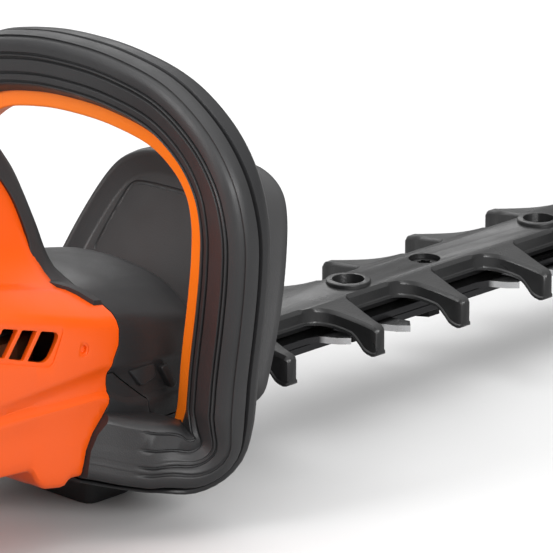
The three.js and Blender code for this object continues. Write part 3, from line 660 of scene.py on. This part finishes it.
CREASE_HIGH = [(-110, 63), (-77, 63), (-30, 65), (-27, 63.5), (4, 61)]
CREASE_LOW = [(-110, 57), (-77, 57), (-30, 55), (-20, 49.5), (17, 48.5)]
CREASE_DEPTH = [(-120, 0), (-80, 0.75), (-60, 1), (17, 1)]


def half_section(x, inset=0.0):
    """Half of the body's section at x, as (distance from the middle, height) from top to bottom."""
    side = BODY_HALF
    top = soft_lookup(TOP, x, 0.8 if x > 5 else 3.0) - inset
    bulge = lookup(BULGE, x)
    low = soft_lookup(BOTTOM, x, 0.8) + inset
    keel = soft_lookup(KEEL, x, 2.0) + inset
    high_line = soft_lookup(CREASE_HIGH, x)
    low_line = soft_lookup(CREASE_LOW, x)
    press = lookup(CREASE_DEPTH, x)
    share = (soft_lookup(HALF_WIDTH, x, 1.0) - inset) / side
    mid = max(low + 10, (low_line + low) / 2 + 2)
    section = [
        (0, top + bulge), (8, top + 0.93 * bulge), (15, top + 0.76 * bulge), (21, top + 0.5 * bulge),
        (27, top + 0.15 * bulge - 0.4), (29.5, top - 1.2), (33.8, top - 3.7),
        (37.4, top - 6.2), (38.9, top - 8.0), (39.6, top - 10.4), (39.9, top - 14),
        (side, lerp(high_line, top - 14, 0.5)),
        (side, high_line + 1.6),
        (side - 0.15 * press, high_line + 0.5),
        (side - 0.6 * press, high_line - 0.4),
        (side - 1.5 * press, high_line - 1.8),
        (side - 2.2 * press, high_line - 3.6),
        (side - 2.5 * press, lerp(high_line, low_line, 0.6)),
        (side - 2.3 * press, low_line + 1.8),
        (side - 1.4 * press, low_line + 0.7),
        (side - 1.0 * press, low_line - 0.3),
        (side - 1.2 * press, low_line - 1.6),
        (side - 2.0 * press, lerp(low_line, mid, 0.6)),
        (38.6 - 0.8 * press, mid - 1), (38.2 - 0.6 * press, low + 4.6),
        (37.9 - 0.6 * press, low + 1.8), (37.2 - 0.6 * press, low + 0.5), (35.8, low), (30, low),
        (26, low), (22, min(low, keel + 1.5)), (20.5, keel), (10, keel - 0.1), (0, keel - 0.1),
    ]
    return [(y * share, z) for y, z in section]


def body_ring(x, inset=0.0):
    """The body's whole section at x, down the right side and up the left."""
    half = half_section(x, inset)
    return [(x, -y, z) for y, z in half] + [(x, y, z) for y, z in half[-2:0:-1]]


def stations(start, end, step):
    """Places from start to end, evenly spaced by about a step."""
    count = max(1, round((end - start) / step))
    return [start + (end - start) * k / count for k in range(count + 1)]


PLAIN_BODY = -120  # behind this the body changes slowly, and its rings stand further apart


def body_form(start, end, fine=1.5):
    """The continuous outer form of the body and the grey front between two places along it."""
    places = stations(start, min(end, PLAIN_BODY), 6) if start < PLAIN_BODY else []
    places += [x for x in stations(max(start, PLAIN_BODY), end, fine)
               if not places or x > places[-1] + 0.1]
    return loft("form", [body_ring(x) for x in places])


def body_hollow(start, end, inset):
    """The body's form moved inwards, to cut out of it and leave a wall."""
    return loft("hollow", [body_ring(x, inset) for x in stations(start, end, 3)])


def gearbox_space(low, high):
    """Room for the gearbox between two heights."""
    return prism(rounded(rectangle(-48, 10.4, -35.5, 35.5), 10), "z", low, high, name="space")


# Rooms inside the grey front, as their x, y and z ranges.
BLADE_MOUTH = ((0, 40), (-15, 15), (30, 55.6))
BASE_ROOM = ((-48, 9.4), (-20.6, 20.6), (28.2, 63))
COVER_ROOMS = [((-48, 8), (-28, 28), (62, 74)), ((-48, -16), (-26, 26), (60, 83))]
# The joint between the upper and lower halves of the grey front, as (x, z).
SPLIT = [(-60, 63.4), (-27.5, 62.2), (-13, 50.2), (-12, 46.4), (-9.5, 42.2), (40, 42.2)]
SPLIT_GAP = 0.45


def below_split(drop=0.0):
    """Everything below the joint between the grey front's halves, or below a line under it."""
    line = [(x, z - drop) for x, z in reversed(SPLIT)]
    return prism([(-60, 5), (40, 5)] + line, "y", -80, 80, name="below")


front_form = body_form(-46, BODY_FRONT, 1.3)
cut(front_form, behind_seam(0.35))

base = overlap(copy_of(front_form, "base"), below_split(SPLIT_GAP))
cut(base, block(*BASE_ROOM), gearbox_space(42.3, 70), block(*BLADE_MOUTH))
hand_in(base, "front_base", "frame", ["handle_base"], DARK, 34, 0.35)

cover = cut(front_form, below_split())
cut(cover, gearbox_space(20, 63), *(block(*room) for room in COVER_ROOMS), block(*BLADE_MOUTH))

FACET_ROOT = 36.0  # how far from the middle a facet starts, inside the cover's wall


def side_facet(points, depth):
    """A low raised panel on both sides of the grey front."""
    panel = prism(rounded(points, 1.2, 3), "y", -depth, -FACET_ROOT, 0.6, name="facet")
    return merged("facets", [mirrored(panel, "twin"), panel])


cover = join(cover, side_facet([(-21, 61), (-10, 61), (-9, 56.5), (-15.5, 54.4)], 39.2))
cover = join(cover, side_facet([(-8.4, 59.5), (-5.4, 60), (-0.6, 52.4), (-3.4, 51)], 40.4))
hand_in(cover, "front_cover", "frame", ["gear_cover"], DARK, 34, 0.35)

# ---------------------------------------------------------------- riser, rear handle and housing

HANDLE_OUTLINE = [
    (-33, 82), (-33.8, 95), (-37.2, 105), (-43.8, 118.5), (-55.5, 135), (-75, 149.4), (-110, 154.2),
    (-185, 147.6), (-232, 137), (-262, 116), (-268, 84),
]
HAND_OPENING = [
    (-86, 101), (-81, 116), (-90, 126), (-112, 129), (-180, 122), (-206, 115), (-212, 106), (-190, 98),
]
HANDLE_HALF = 16
HANDLE_EDGE = 5.5


def rear_handle():
    """The riser and the rear handle round the hand opening, with rounded edges."""
    outer = rounded(HANDLE_OUTLINE, 12, 5)
    handle = prism(outer, "y", -HANDLE_HALF, HANDLE_HALF, name="handle")
    opening = prism(rounded(HAND_OPENING, 9, 6), "y", -60, 60, name="opening")
    cut(handle, opening)
    bevel = handle.modifiers.new("edge", "BEVEL")
    bevel.width = HANDLE_EDGE * MM
    bevel.segments = 4
    bevel.limit_method = "ANGLE"
    bevel.angle_limit = math.radians(40)
    bake(handle)
    return handle


# Levels of the riser's foot, as (height over the body's top, half width, front, rear).
FLARE = [
    (-8, 35, -34, -112), (-3, 31.5, -34, -106), (-0.6, 27.4, -34.4, -101), (1.2, 24, -34.8, -97),
    (3.6, 21, -35, -93.5), (7, 18.6, -35.4, -90.5), (11.5, 17, -36, -88), (17, 16.2, -37.6, -86.6),
    (23, 15.6, -40, -86), (30, 15, -43, -86),
]


def flare():
    """The riser's foot, which spreads into the top of the body."""
    rings = []
    for rise, half, front, rear in FLARE:
        plan = rounded(rectangle(rear, front, -half, half), 9, 8)
        rings.append([(x, y, soft_lookup(TOP, max(x, -80), 4) + rise) for x, y in plan])
    return loft("flare", rings)


HOUSING_FRONT = -20  # past the seam, which trims it
HOLLOW_REAR = -222
HOUSING_WALL = 1.9
ROOF = ((-60, -10), (-12, 12), (85.6, 130))  # left solid above the hollow
BATTERY_BAY = ((-301, -226), (-36, 36), (26, 86))

housing = body_form(BODY_REAR, HOUSING_FRONT)
join(housing, flare())
join(housing, rear_handle())
overlap(housing, behind_seam())
hollow = body_hollow(HOLLOW_REAR, HOUSING_FRONT, HOUSING_WALL)
cut(housing, cut(hollow, block(*ROOF)))
cut(housing, block(*BATTERY_BAY))

VENT_COUNT, VENT_FRONT, VENT_PITCH, VENT_LEAN = 4, -50.2, 7.9, 6


def vent_outline(right, width, grow=0.0):
    """One slanted cooling slot from its top front corner, as (x, z), leaning forward at its top."""
    def top(x):
        return 82.0 + 0.286 * (-55 - x)

    def low(x):
        return 72.0 + 0.33 * (-56 - x)

    left = right - width
    right_low, left_low = right - VENT_LEAN, left - VENT_LEAN
    return [(right_low + grow, low(right_low) - grow), (right + grow, top(right) + grow),
            (left - grow, top(left) + grow), (left_low - grow, low(left_low) - grow)]


# A shallow recess runs round all the slots. The front slot is wider and rounder than the others.
recess = rounded(vent_outline(VENT_FRONT, VENT_COUNT * VENT_PITCH + 0.2, 1.6), 2.6, 5)
cut(housing, prism(recess, "y", -60, -39.4), prism(recess, "y", 39.4, 60))
for k in range(VENT_COUNT):
    wide = 8.1 if k == 0 else 6.2
    corner = [3.2, 3.2, 0.6, 0.6] if k == 0 else 0.6
    right = VENT_FRONT - VENT_PITCH * k - (1.9 if k else 0)
    cut(housing, prism(rounded(vent_outline(right, wide), corner, 4), "y", -60, 60))

SCREW_HOLE = (-41, 73)
for hand in (-1, 1):
    cut(housing, rod("y", 1.4, *sorted((hand * 38.7, hand * 60)), SCREW_HOLE, 20))
    cut(housing, rod("y", 2.1, *sorted((hand * 39.6, hand * 60)), SCREW_HOLE, 24))

OPENINGS = [
    ((-151, -102), (-7.5, 7.5), (118, 146)),  # for the trigger
    ((-134.5, -115.5), (-5, 5), (140, 165)),  # for the lock button
    ((-180, -152), (-9, 9), (126, 142)),  # for the trigger's switch
    ((-227, -221), (-16.5, 16.5), (49.5, 62.5)),  # for the battery's terminals
]
cut(housing, *(block(*opening) for opening in OPENINGS))
all_x, all_z = (FAR_BEHIND, 60), (-20, 220)
left_half = cut(copy_of(housing, "left_half"), block(all_x, (-FAR_OUT, GAP / 2), all_z))
right_half = cut(housing, block(all_x, (-GAP / 2, FAR_OUT), all_z))
hand_in(right_half, "housing_skin_right", "frame", ["housing_right"], ORANGE,
        30, 0.3)
hand_in(left_half, "housing_skin_left", "frame", ["housing_left"], ORANGE, 30, 0.3)

# The rubber trim over the riser and the rear handle: (x, z) of its outer line, its half width and how
# far its sides reach inwards round the handle.
TRIM_LINE = [
    (-28.6, 86.4, 28.8, 3), (-29.3, 88.6, 26, 6.5), (-30.1, 90.6, 22.6, 10), (-31.1, 93.2, 19.6, 11.6),
    (-32.4, 97, 17.9, 9.6), (-34.0, 101.5, 17.3, 8), (-36.0, 107, 17.1, 7), (-41.2, 118.5, 17.1, 6.6),
    (-45.4, 127, 17, 7.4), (-49.4, 133, 17, 8), (-54.5, 139.5, 17, 8.6), (-63, 147, 17, 9),
    (-75, 152.2, 17, 9), (-90, 155.4, 17, 9), (-110, 157.2, 17, 9), (-150, 153.8, 17, 9),
    (-185, 150.4, 17, 9), (-205, 146, 17, 8), (-222, 141.2, 17, 6),
]
TRIM_STEP = 2.0


def trim_ring(point, inward, half, wrap):
    """A thin channel section, closed over the handle: out along one side, over, and back inside."""
    outer = [(-half, wrap), (-half - 0.25, wrap - 0.7), (-half, wrap - 1.5), (-half, 4.4),
             (-half + 0.5, 2.6), (-half + 1.7, 1.1), (-half + 3.6, 0.25), (-half + 6.5, 0),
             (-half / 3, -0.1)]
    outer = outer + [(-y, d) for y, d in reversed(outer)]
    inner = [(half - 1.9, wrap), (half - 1.9, 4.8), (half - 3.0, 3.2), (half - 5.0, 2.4),
             (half / 3, 2.3)]
    inner = inner + [(-y, d) for y, d in reversed(inner)]
    return [(point.x + inward.x * d, y, point.z + inward.z * d) for y, d in outer + inner]


trim_rings = []
trim_path = spline([(x, half, z) for x, z, half, _ in TRIM_LINE], TRIM_STEP)
wraps = spline([(x, wrap, z) for x, z, _, wrap in TRIM_LINE], TRIM_STEP)
last = len(trim_path) - 1
for i, p in enumerate(trim_path):
    along = trim_path[min(i + 1, last)] - trim_path[max(i - 1, 0)]
    inward = Vector((-along.z, 0, along.x)).normalized()
    if inward.z > 0:
        inward = -inward
    wrap = wraps[min(len(wraps) - 1, round(i * (len(wraps) - 1) / last))].y
    trim_rings.append(trim_ring(p, inward, p.y, wrap))
trim = loft("trim", trim_rings)


def trim_foot():
    """The trim's flat foot, which lies on the body's top between the riser and the grey front."""
    plate = loft("foot", [body_ring(x, -1.1) for x in stations(-60, -20, 1.5)])
    under = loft("under", [body_ring(x, -0.06) for x in stations(-63, -17, 1.5)])
    cut(plate, under, flare(), rear_handle())
    plan = [(-60, -12), (-50, -14), (-43, -18.5), (-31, -34), (-20, -34)]
    overlap(plate, prism(plan + [(x, -y) for x, y in reversed(plan)], "z", 76, 120))
    return overlap(plate, behind_seam())


join(trim, trim_foot())
hand_in(trim, "grip_trim", "frame", ["rear_grip"], RUBBER, 42)

# ---------------------------------------------------------------- hand guard

GUARD = {"x": 17.8, "z": 50, "tilt": 0.445}
# The right half of the guard's rim, as (across, up its slope).
GUARD_SIDE = [
    (-43, 0), (-45, 3), (-45, 8), (-42.4, 24), (-38.4, 39), (-33.6, 51.5), (-28.4, 58.5), (-20, 62.6),
    (-10, 63.6),
]
GUARD_CENTRE = 30
GUARD_WIDE, GUARD_TALL = 45, 34  # from the guard's centre to its rim
# The guard's section from the middle of its rear face, over the rim and back: (inset from the rim, depth).
GUARD_RINGS = [
    (22, 3.6), (16, 3.6), (10, 3.6), (6.9, 3.6), (6.3, 3.5), (5.7, 3.2), (1.5, 0.5), (0.9, 0.12),
    (0.35, 0.0), (-0.15, 0.08), (-0.55, 0.4), (-0.8, 0.9), (-1.9, 3), (-3.0, 6), (-4.2, 9.4),
    (-4.9, 10.8), (-4.9, 11.5), (-4.1, 11.7), (-3.2, 11), (-1.9, 8.4), (-0.3, 5.6), (1.2, 4.6),
    (3.2, 5.4), (6.6, 6.3), (10, 6.4), (16, 6.4), (22, 6.4),
]
# The right half of the line pressed into the guard's face, as (across, up its slope, 0).
GUARD_MARK = [
    (31.4, 27.5, 0), (31.6, 29, 0), (29.6, 37, 0), (26.6, 47, 0), (24.8, 50.6, 0), (21.5, 52.4, 0),
    (10, 53, 0),
]


def guard_spot(side, rise, depth):
    """A point of the leaning guard: across, up its slope and forward of its rear face."""
    tilt = GUARD["tilt"]
    return (GUARD["x"] + rise * math.sin(tilt) + depth * math.cos(tilt), side,
            GUARD["z"] + rise * math.cos(tilt) - depth * math.sin(tilt))


def guard_shell():
    """The guard's curved shell with its rim and root, a notch over the blade and a pressed line."""
    corners = [(y, s, 0) for y, s in GUARD_SIDE] + [(-y, s, 0) for y, s in reversed(GUARD_SIDE)]
    top = [(p.x, p.y) for p in spline(corners, 1.8)]
    foot_count = 40
    start, end = top[-1], top[0]
    foot = [(lerp(start[0], end[0], k / foot_count), lerp(start[1], end[1], k / foot_count) - 0.4)
            for k in range(1, foot_count)]
    rings = []
    for inset, depth in GUARD_RINGS:
        wide, tall = 1 - inset / GUARD_WIDE, 1 - inset / GUARD_TALL
        rings.append([guard_spot(y * wide, GUARD_CENTRE + (s - GUARD_CENTRE) * tall, depth)
                      for y, s in top + foot])
    guard = loft("guard", rings)
    join(guard, prism([(17.4, 51), (19.8, 51), (27, 66), (17.4, 66)], "y", -27, 27))
    cut(guard, prism(rounded([(-17, 30), (17, 30), (17, 61), (-17, 61)], 4), "x", 0, 60))
    line = spline(GUARD_MARK + [(-y, s, 0) for y, s, _ in reversed(GUARD_MARK)], 1.5)
    cut(guard, tube([guard_spot(p.x, p.y, 3.4) for p in line], 0.8))
    return guard


hand_in(guard_shell(), "guard_shell", "frame", ["hand_guard"], GUARD_SHEEN_GREY, 36)

# ---------------------------------------------------------------- blade

RIDGE_HALF = 9.5
RIDGE_TOP = 48.6
WALL = 5.7  # from the bar's top to the underside of its ridge
TEETH, FIRST_TOOTH, PITCH = 12, 60.2, 42
LEFT_TEETH_BEHIND = 2.0  # the left teeth stand a little behind the right ones
TOOTH_FALL = 4.3 / 22.2  # how steeply a tooth's top falls outwards
BAR_REAR, BAR_TIP = 14, 552
BIG_BOLTS = [120 + 97 * k for k in range(5)]
SMALL_BOLTS = [157.9, 351.9]
# A tooth's plan from its root to its tip: (distance out, rear edge, front edge, drop of the underside).
TOOTH = [
    (7.6, -17.5, 9.6, 0), (9.4, -15.2, 8.0, 0), (9.9, -12.4, 7.1, 0), (10.7, -10.2, 6.5, 0),
    (12, -8.3, 6.1, 0), (13.8, -6.7, 5.8, 0), (16, -5.5, 5.3, 0), (19, -4.6, 4.6, 0),
    (22, -3.9, 3.9, 0.1), (23.6, -3.6, 3.6, 0.9), (25.2, -3.3, 3.2, 2.3), (26.8, -3.1, 2.9, 3.8),
    (28.2, -2.9, 2.7, 4.3), (30.2, -2.7, 2.5, 4.4), (31.2, -2.2, 2.0, 4.1), (31.7, -1.4, 1.2, 3.3),
]


def tooth(x, hand):
    """One tooth of the guard bar; hand is 1 for the right side and -1 for the left."""
    rings = []
    for out, rear, front, drop in TOOTH:
        top = RIDGE_TOP - 0.02 - TOOTH_FALL * max(0, out - RIDGE_HALF)
        low = top - WALL - drop
        top -= 0.9 * smoothstep(30.4, 31.7, out)  # rounds the tip off
        slope = min(1.15, (front - rear) * 0.2)
        section = [(rear - 0.5, low), (rear - 0.5, low + 0.9), (rear, low + 1.3), (rear, top - 1.1),
                   (rear + slope, top), (front - slope, top), (front, top - 1.1), (front, low + 1.3),
                   (front + 0.5, low + 0.9), (front + 0.5, low)]
        rings.append([(x + hand * u, -hand * out, z) for u, z in section])
    return loft("tooth", rings)


def guard_bar():
    """The fixed bar over the cutters, with its teeth, bolt rings and bolt recesses."""
    h, t, low = RIDGE_HALF, RIDGE_TOP, RIDGE_TOP - WALL
    section = [(-h - 0.4, low), (-h - 0.4, low + 0.9), (-h, low + 1.3), (-h, t - 1.2), (-h + 1.2, t),
               (h - 1.2, t), (h, t - 1.2), (h, low + 1.3), (h + 0.4, low + 0.9), (h + 0.4, low),
               (7.5, low), (7.5, 40.4), (-7.5, 40.4), (-7.5, low)]
    widths = ((BAR_REAR, 0.94), (BAR_REAR + 1, 1), (BAR_TIP - 14, 1), (BAR_TIP - 4, 0.55), (BAR_TIP, 0.34))
    bar = loft("bar", [[(x, y * share, z) for y, z in section] for x, share in widths])
    for hand in (1, -1):
        places = [FIRST_TOOTH + PITCH * k for k in range(TEETH)]
        behind = 0 if hand > 0 else LEFT_TEETH_BEHIND
        join(bar, merged("teeth", [tooth(x - behind, hand) for x in places]))
    join(bar, merged("rings", [rod("z", 7.6, t - 1, t + 1.4, (x, 0), 40, 0.5) for x in BIG_BOLTS]))
    recesses = [rod("z", 5.5, low + 1.6, t + 3, (x, 0), 32) for x in BIG_BOLTS + SMALL_BOLTS]
    cut(bar, merged("recesses", recesses))
    cut(bar, merged("shafts", [rod("z", 3.3, 30, t, (x, 0), 24) for x in BIG_BOLTS + SMALL_BOLTS]))
    cut(bar, merged("screws", [rod("z", 2.3, 30, t + 3, (28, y), 20) for y in (-5, 5)]))
    return bar


hand_in(guard_bar(), "guard_bar_detail", "frame", ["blade_guard_bar"], BAR_GREY, 28, 0.3)
for node, body in (("upper_cutter", "upper_blade"), ("lower_cutter", "lower_blade")):
    refined(node, body, CUTTER_STEEL, 0.7, 1)
refined("blade_support_bar", "frame", CUTTER_STEEL, 0.4, 1)


def star(radius, depth):
    """The soft six-armed outline of a bolt's drive."""
    count = 24  # four points for each arm
    outline = []
    for k in range(count):
        r = radius + depth * math.cos(k * math.pi / 2)
        angle = 2 * math.pi * k / count
        outline.append((r * math.cos(angle), r * math.sin(angle)))
    return outline


BOLT_SEAT = RIDGE_TOP - WALL + 1.9  # the underside of the heads, in their recesses
NUT_LOW, SHANK_LOW, NUT_HIGH = 29.2, 31.6, 32.3
for k, x in enumerate(BIG_BOLTS + SMALL_BOLTS):
    bolt = rod("z", 5.05, BOLT_SEAT, BOLT_SEAT + 2.4, (x, 0), 32, 0.6)
    join(bolt, rod("z", 3.1, SHANK_LOW, BOLT_SEAT + 1, (x, 0), 24))
    join(bolt, prism(circle(5.4, 6, (x, 0)), "z", NUT_LOW, NUT_HIGH))
    drive = [(x + u, v) for u, v in star(2.3, 0.42)]
    cut(bolt, prism(drive, "z", BOLT_SEAT + 0.7, BOLT_SEAT + 5))
    hand_in(bolt, f"bolt_{k + 1}", "frame", [f"blade_bolt_{k + 1}"], BLACK_METAL, 30)

refined("blade_tip_guard", "frame", DARK, 0.8, 3)

# ---------------------------------------------------------------- smaller fittings

# The CAD's control panel leans the wrong way. The visual panel and its button are turned about the
# panel's middle, until they lie along the handle's slope.
PANEL_MIDDLE = place((-80, 0, 152.6))
PANEL_TILT = math.radians(18)
PANEL_TURN = (Matrix.Translation(PANEL_MIDDLE) @ Matrix.Rotation(PANEL_TILT, 4, "Y")
              @ Matrix.Translation(-PANEL_MIDDLE))

for node, body, material, slot, edge in (
    ("throttle_trigger", "trigger", BLACK, "black_plastic", 1.0),
    ("lock_button", "lock", BRIGHT_ORANGE, "bright_orange_plastic", 1.0),
    ("control_panel", "frame", BLACK, "black_plastic", 0.5),
    ("power_button", "power", BRIGHT_ORANGE, "bright_orange_plastic", 0.6),
    ("battery_latch_right", "latch_right", BRIGHT_ORANGE, "bright_orange_plastic", 0.9),
    ("battery_latch_left", "latch_left", BRIGHT_ORANGE, "bright_orange_plastic", 0.9),
    ("front_foot", "frame", RUBBER, "grip_rubber", 0.6),
    ("rear_foot", "frame", RUBBER, "grip_rubber", 0.6),
    ("battery_case", "battery", BLACK, "black_plastic", 1.2),
):
    fitting = refined(node, body, material, edge)
    if node in ("control_panel", "power_button"):
        fitting.data.transform(PANEL_TURN)

# The inner nodes keep their CAD shape.
INNER = {
    CAST: ["gearbox_casting", "gearbox_lid", "motor_rotor"],
    STEEL: ["bar_screw_1", "bar_screw_2", "drive_gear", "drive_pinion", "gear_bearing_lower",
            "gear_bearing_upper", "motor_bearing_lower", "motor_bearing_upper", "motor_shaft",
            "trigger_pin"],
    COPPER: ["motor_stator"],
    BLACK: ["cooling_fan", "trigger_switch", "battery_terminals"],
    CELL: ["battery_cells"],
    BOARD: ["control_board"],
}
for material, nodes in INNER.items():
    for node in nodes:
        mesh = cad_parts[node].data
        mesh.materials.clear()
        mesh.materials.append(material)
        mesh.polygons.foreach_set("material_index", [0] * len(mesh.polygons))

# ---------------------------------------------------------------- floor, light and camera


FLOOR_HALF = 30  # metres
FLOOR_PAINTED_SHADOW = (0.66, 1.0)  # painted shadow: the floor's colour near the tool and far from it, as the camera sees them
FLOOR_SHADOW_REACH = (0.15, 1.3)  # metres from the tool's middle between which the painted shadow fades out
FLOOR_GREY = 0.4  # what every other ray meets


def flat_floor():
    """A pale floor that throws less light up at the tool than it shows the camera, with a painted shadow
    that darkens it towards the tool.
    """
    mesh = bpy.data.meshes.new("floor")
    corners = rectangle(-FLOOR_HALF, FLOOR_HALF, -FLOOR_HALF, FLOOR_HALF)
    mesh.from_pydata([(x, y, 0) for x, y in corners], [], [(0, 1, 2, 3)])
    floor = linked("floor", mesh)
    material = bpy.data.materials.new("floor")
    material.use_nodes = True
    tree = material.node_tree
    shader = tree.nodes["Principled BSDF"]
    shader.inputs["Base Color"].default_value = (FLOOR_GREY, FLOOR_GREY, FLOOR_GREY, 1)
    shader.inputs["Roughness"].default_value = 0.75
    shader.inputs["Specular IOR Level"].default_value = 0.2
    bright = tree.nodes.new("ShaderNodeBsdfDiffuse")
    where = tree.nodes.new("ShaderNodeTexCoord")
    reach = tree.nodes.new("ShaderNodeVectorMath")
    reach.operation = "LENGTH"
    painted_shadow = tree.nodes.new("ShaderNodeMapRange")
    painted_shadow.interpolation_type = "SMOOTHSTEP"
    painted_shadow.inputs["From Min"].default_value, painted_shadow.inputs["From Max"].default_value = FLOOR_SHADOW_REACH
    painted_shadow.inputs["To Min"].default_value, painted_shadow.inputs["To Max"].default_value = FLOOR_PAINTED_SHADOW
    tree.links.new(where.outputs["Object"], reach.inputs[0])
    tree.links.new(reach.outputs["Value"], painted_shadow.inputs["Value"])
    tree.links.new(painted_shadow.outputs["Result"], bright.inputs["Color"])
    seen = tree.nodes.new("ShaderNodeLightPath")
    mix = tree.nodes.new("ShaderNodeMixShader")
    tree.links.new(seen.outputs["Is Camera Ray"], mix.inputs["Fac"])
    tree.links.new(shader.outputs["BSDF"], mix.inputs[1])
    tree.links.new(bright.outputs["BSDF"], mix.inputs[2])
    tree.links.new(mix.outputs["Shader"], tree.nodes["Material Output"].inputs["Surface"])
    mesh.materials.append(material)


flat_floor()


def softbox(name, spot, target, size, power):
    """A square area light facing a point."""
    light = bpy.data.lights.new(name, "AREA")
    light.shape = "RECTANGLE"
    light.size, light.size_y = size
    light.energy = power
    lamp = linked(name, light)
    lamp.location = spot
    lamp.rotation_euler = (Vector(target) - Vector(spot)).to_track_quat("-Z", "Y").to_euler()


MIDDLE = (0.05, 0, 0.08)
softbox("top_light", (0.1, 0.2, 1.6), MIDDLE, (1.8, 1.8), 11)
softbox("key_light", (-1.5, 0.3, 1.1), MIDDLE, (0.6, 1.2), 20)
softbox("side_light", (-0.3, -1.7, 0.75), MIDDLE, (1.1, 0.3), 19)
softbox("back_light", (1.0, 1.9, 1.1), MIDDLE, (2.0, 0.7), 9)

# The studio is bright overhead and dim round the sides.
SKY_SIDE, SKY_TOP = 0.2, 1.1
world = bpy.data.worlds.new("studio")
bpy.context.scene.world = world
world.use_nodes = True
sky = world.node_tree
direction = sky.nodes.new("ShaderNodeTexCoord")
parts = sky.nodes.new("ShaderNodeSeparateXYZ")
height = sky.nodes.new("ShaderNodeMapRange")
height.interpolation_type = "SMOOTHSTEP"
height.inputs["From Min"].default_value = 0.0
height.inputs["From Max"].default_value = 0.9
height.inputs["To Min"].default_value = SKY_SIDE
height.inputs["To Max"].default_value = SKY_TOP
sky.links.new(direction.outputs["Generated"], parts.inputs["Vector"])
sky.links.new(parts.outputs["Z"], height.inputs["Value"])
sky.links.new(height.outputs["Result"], sky.nodes["Background"].inputs["Strength"])
sky.nodes["Background"].inputs["Color"].default_value = (1, 1, 1, 1)
bpy.context.scene.view_settings.view_transform = "Standard"

# The photo's viewing angle: from the rear right, a little above the tool.
AZIMUTH, ELEVATION = math.radians(-46.04), math.radians(17.69)
CAMERA_PLACE = (-1.046, -1.091, 0.552)
camera = linked("camera", bpy.data.cameras.new("camera"))
camera.data.lens = 325.5
camera.data.sensor_width = 36
camera.data.clip_end = 60
camera.location = CAMERA_PLACE
camera.rotation_euler = (math.pi / 2 - ELEVATION, 0, AZIMUTH)
bpy.context.scene.camera = camera
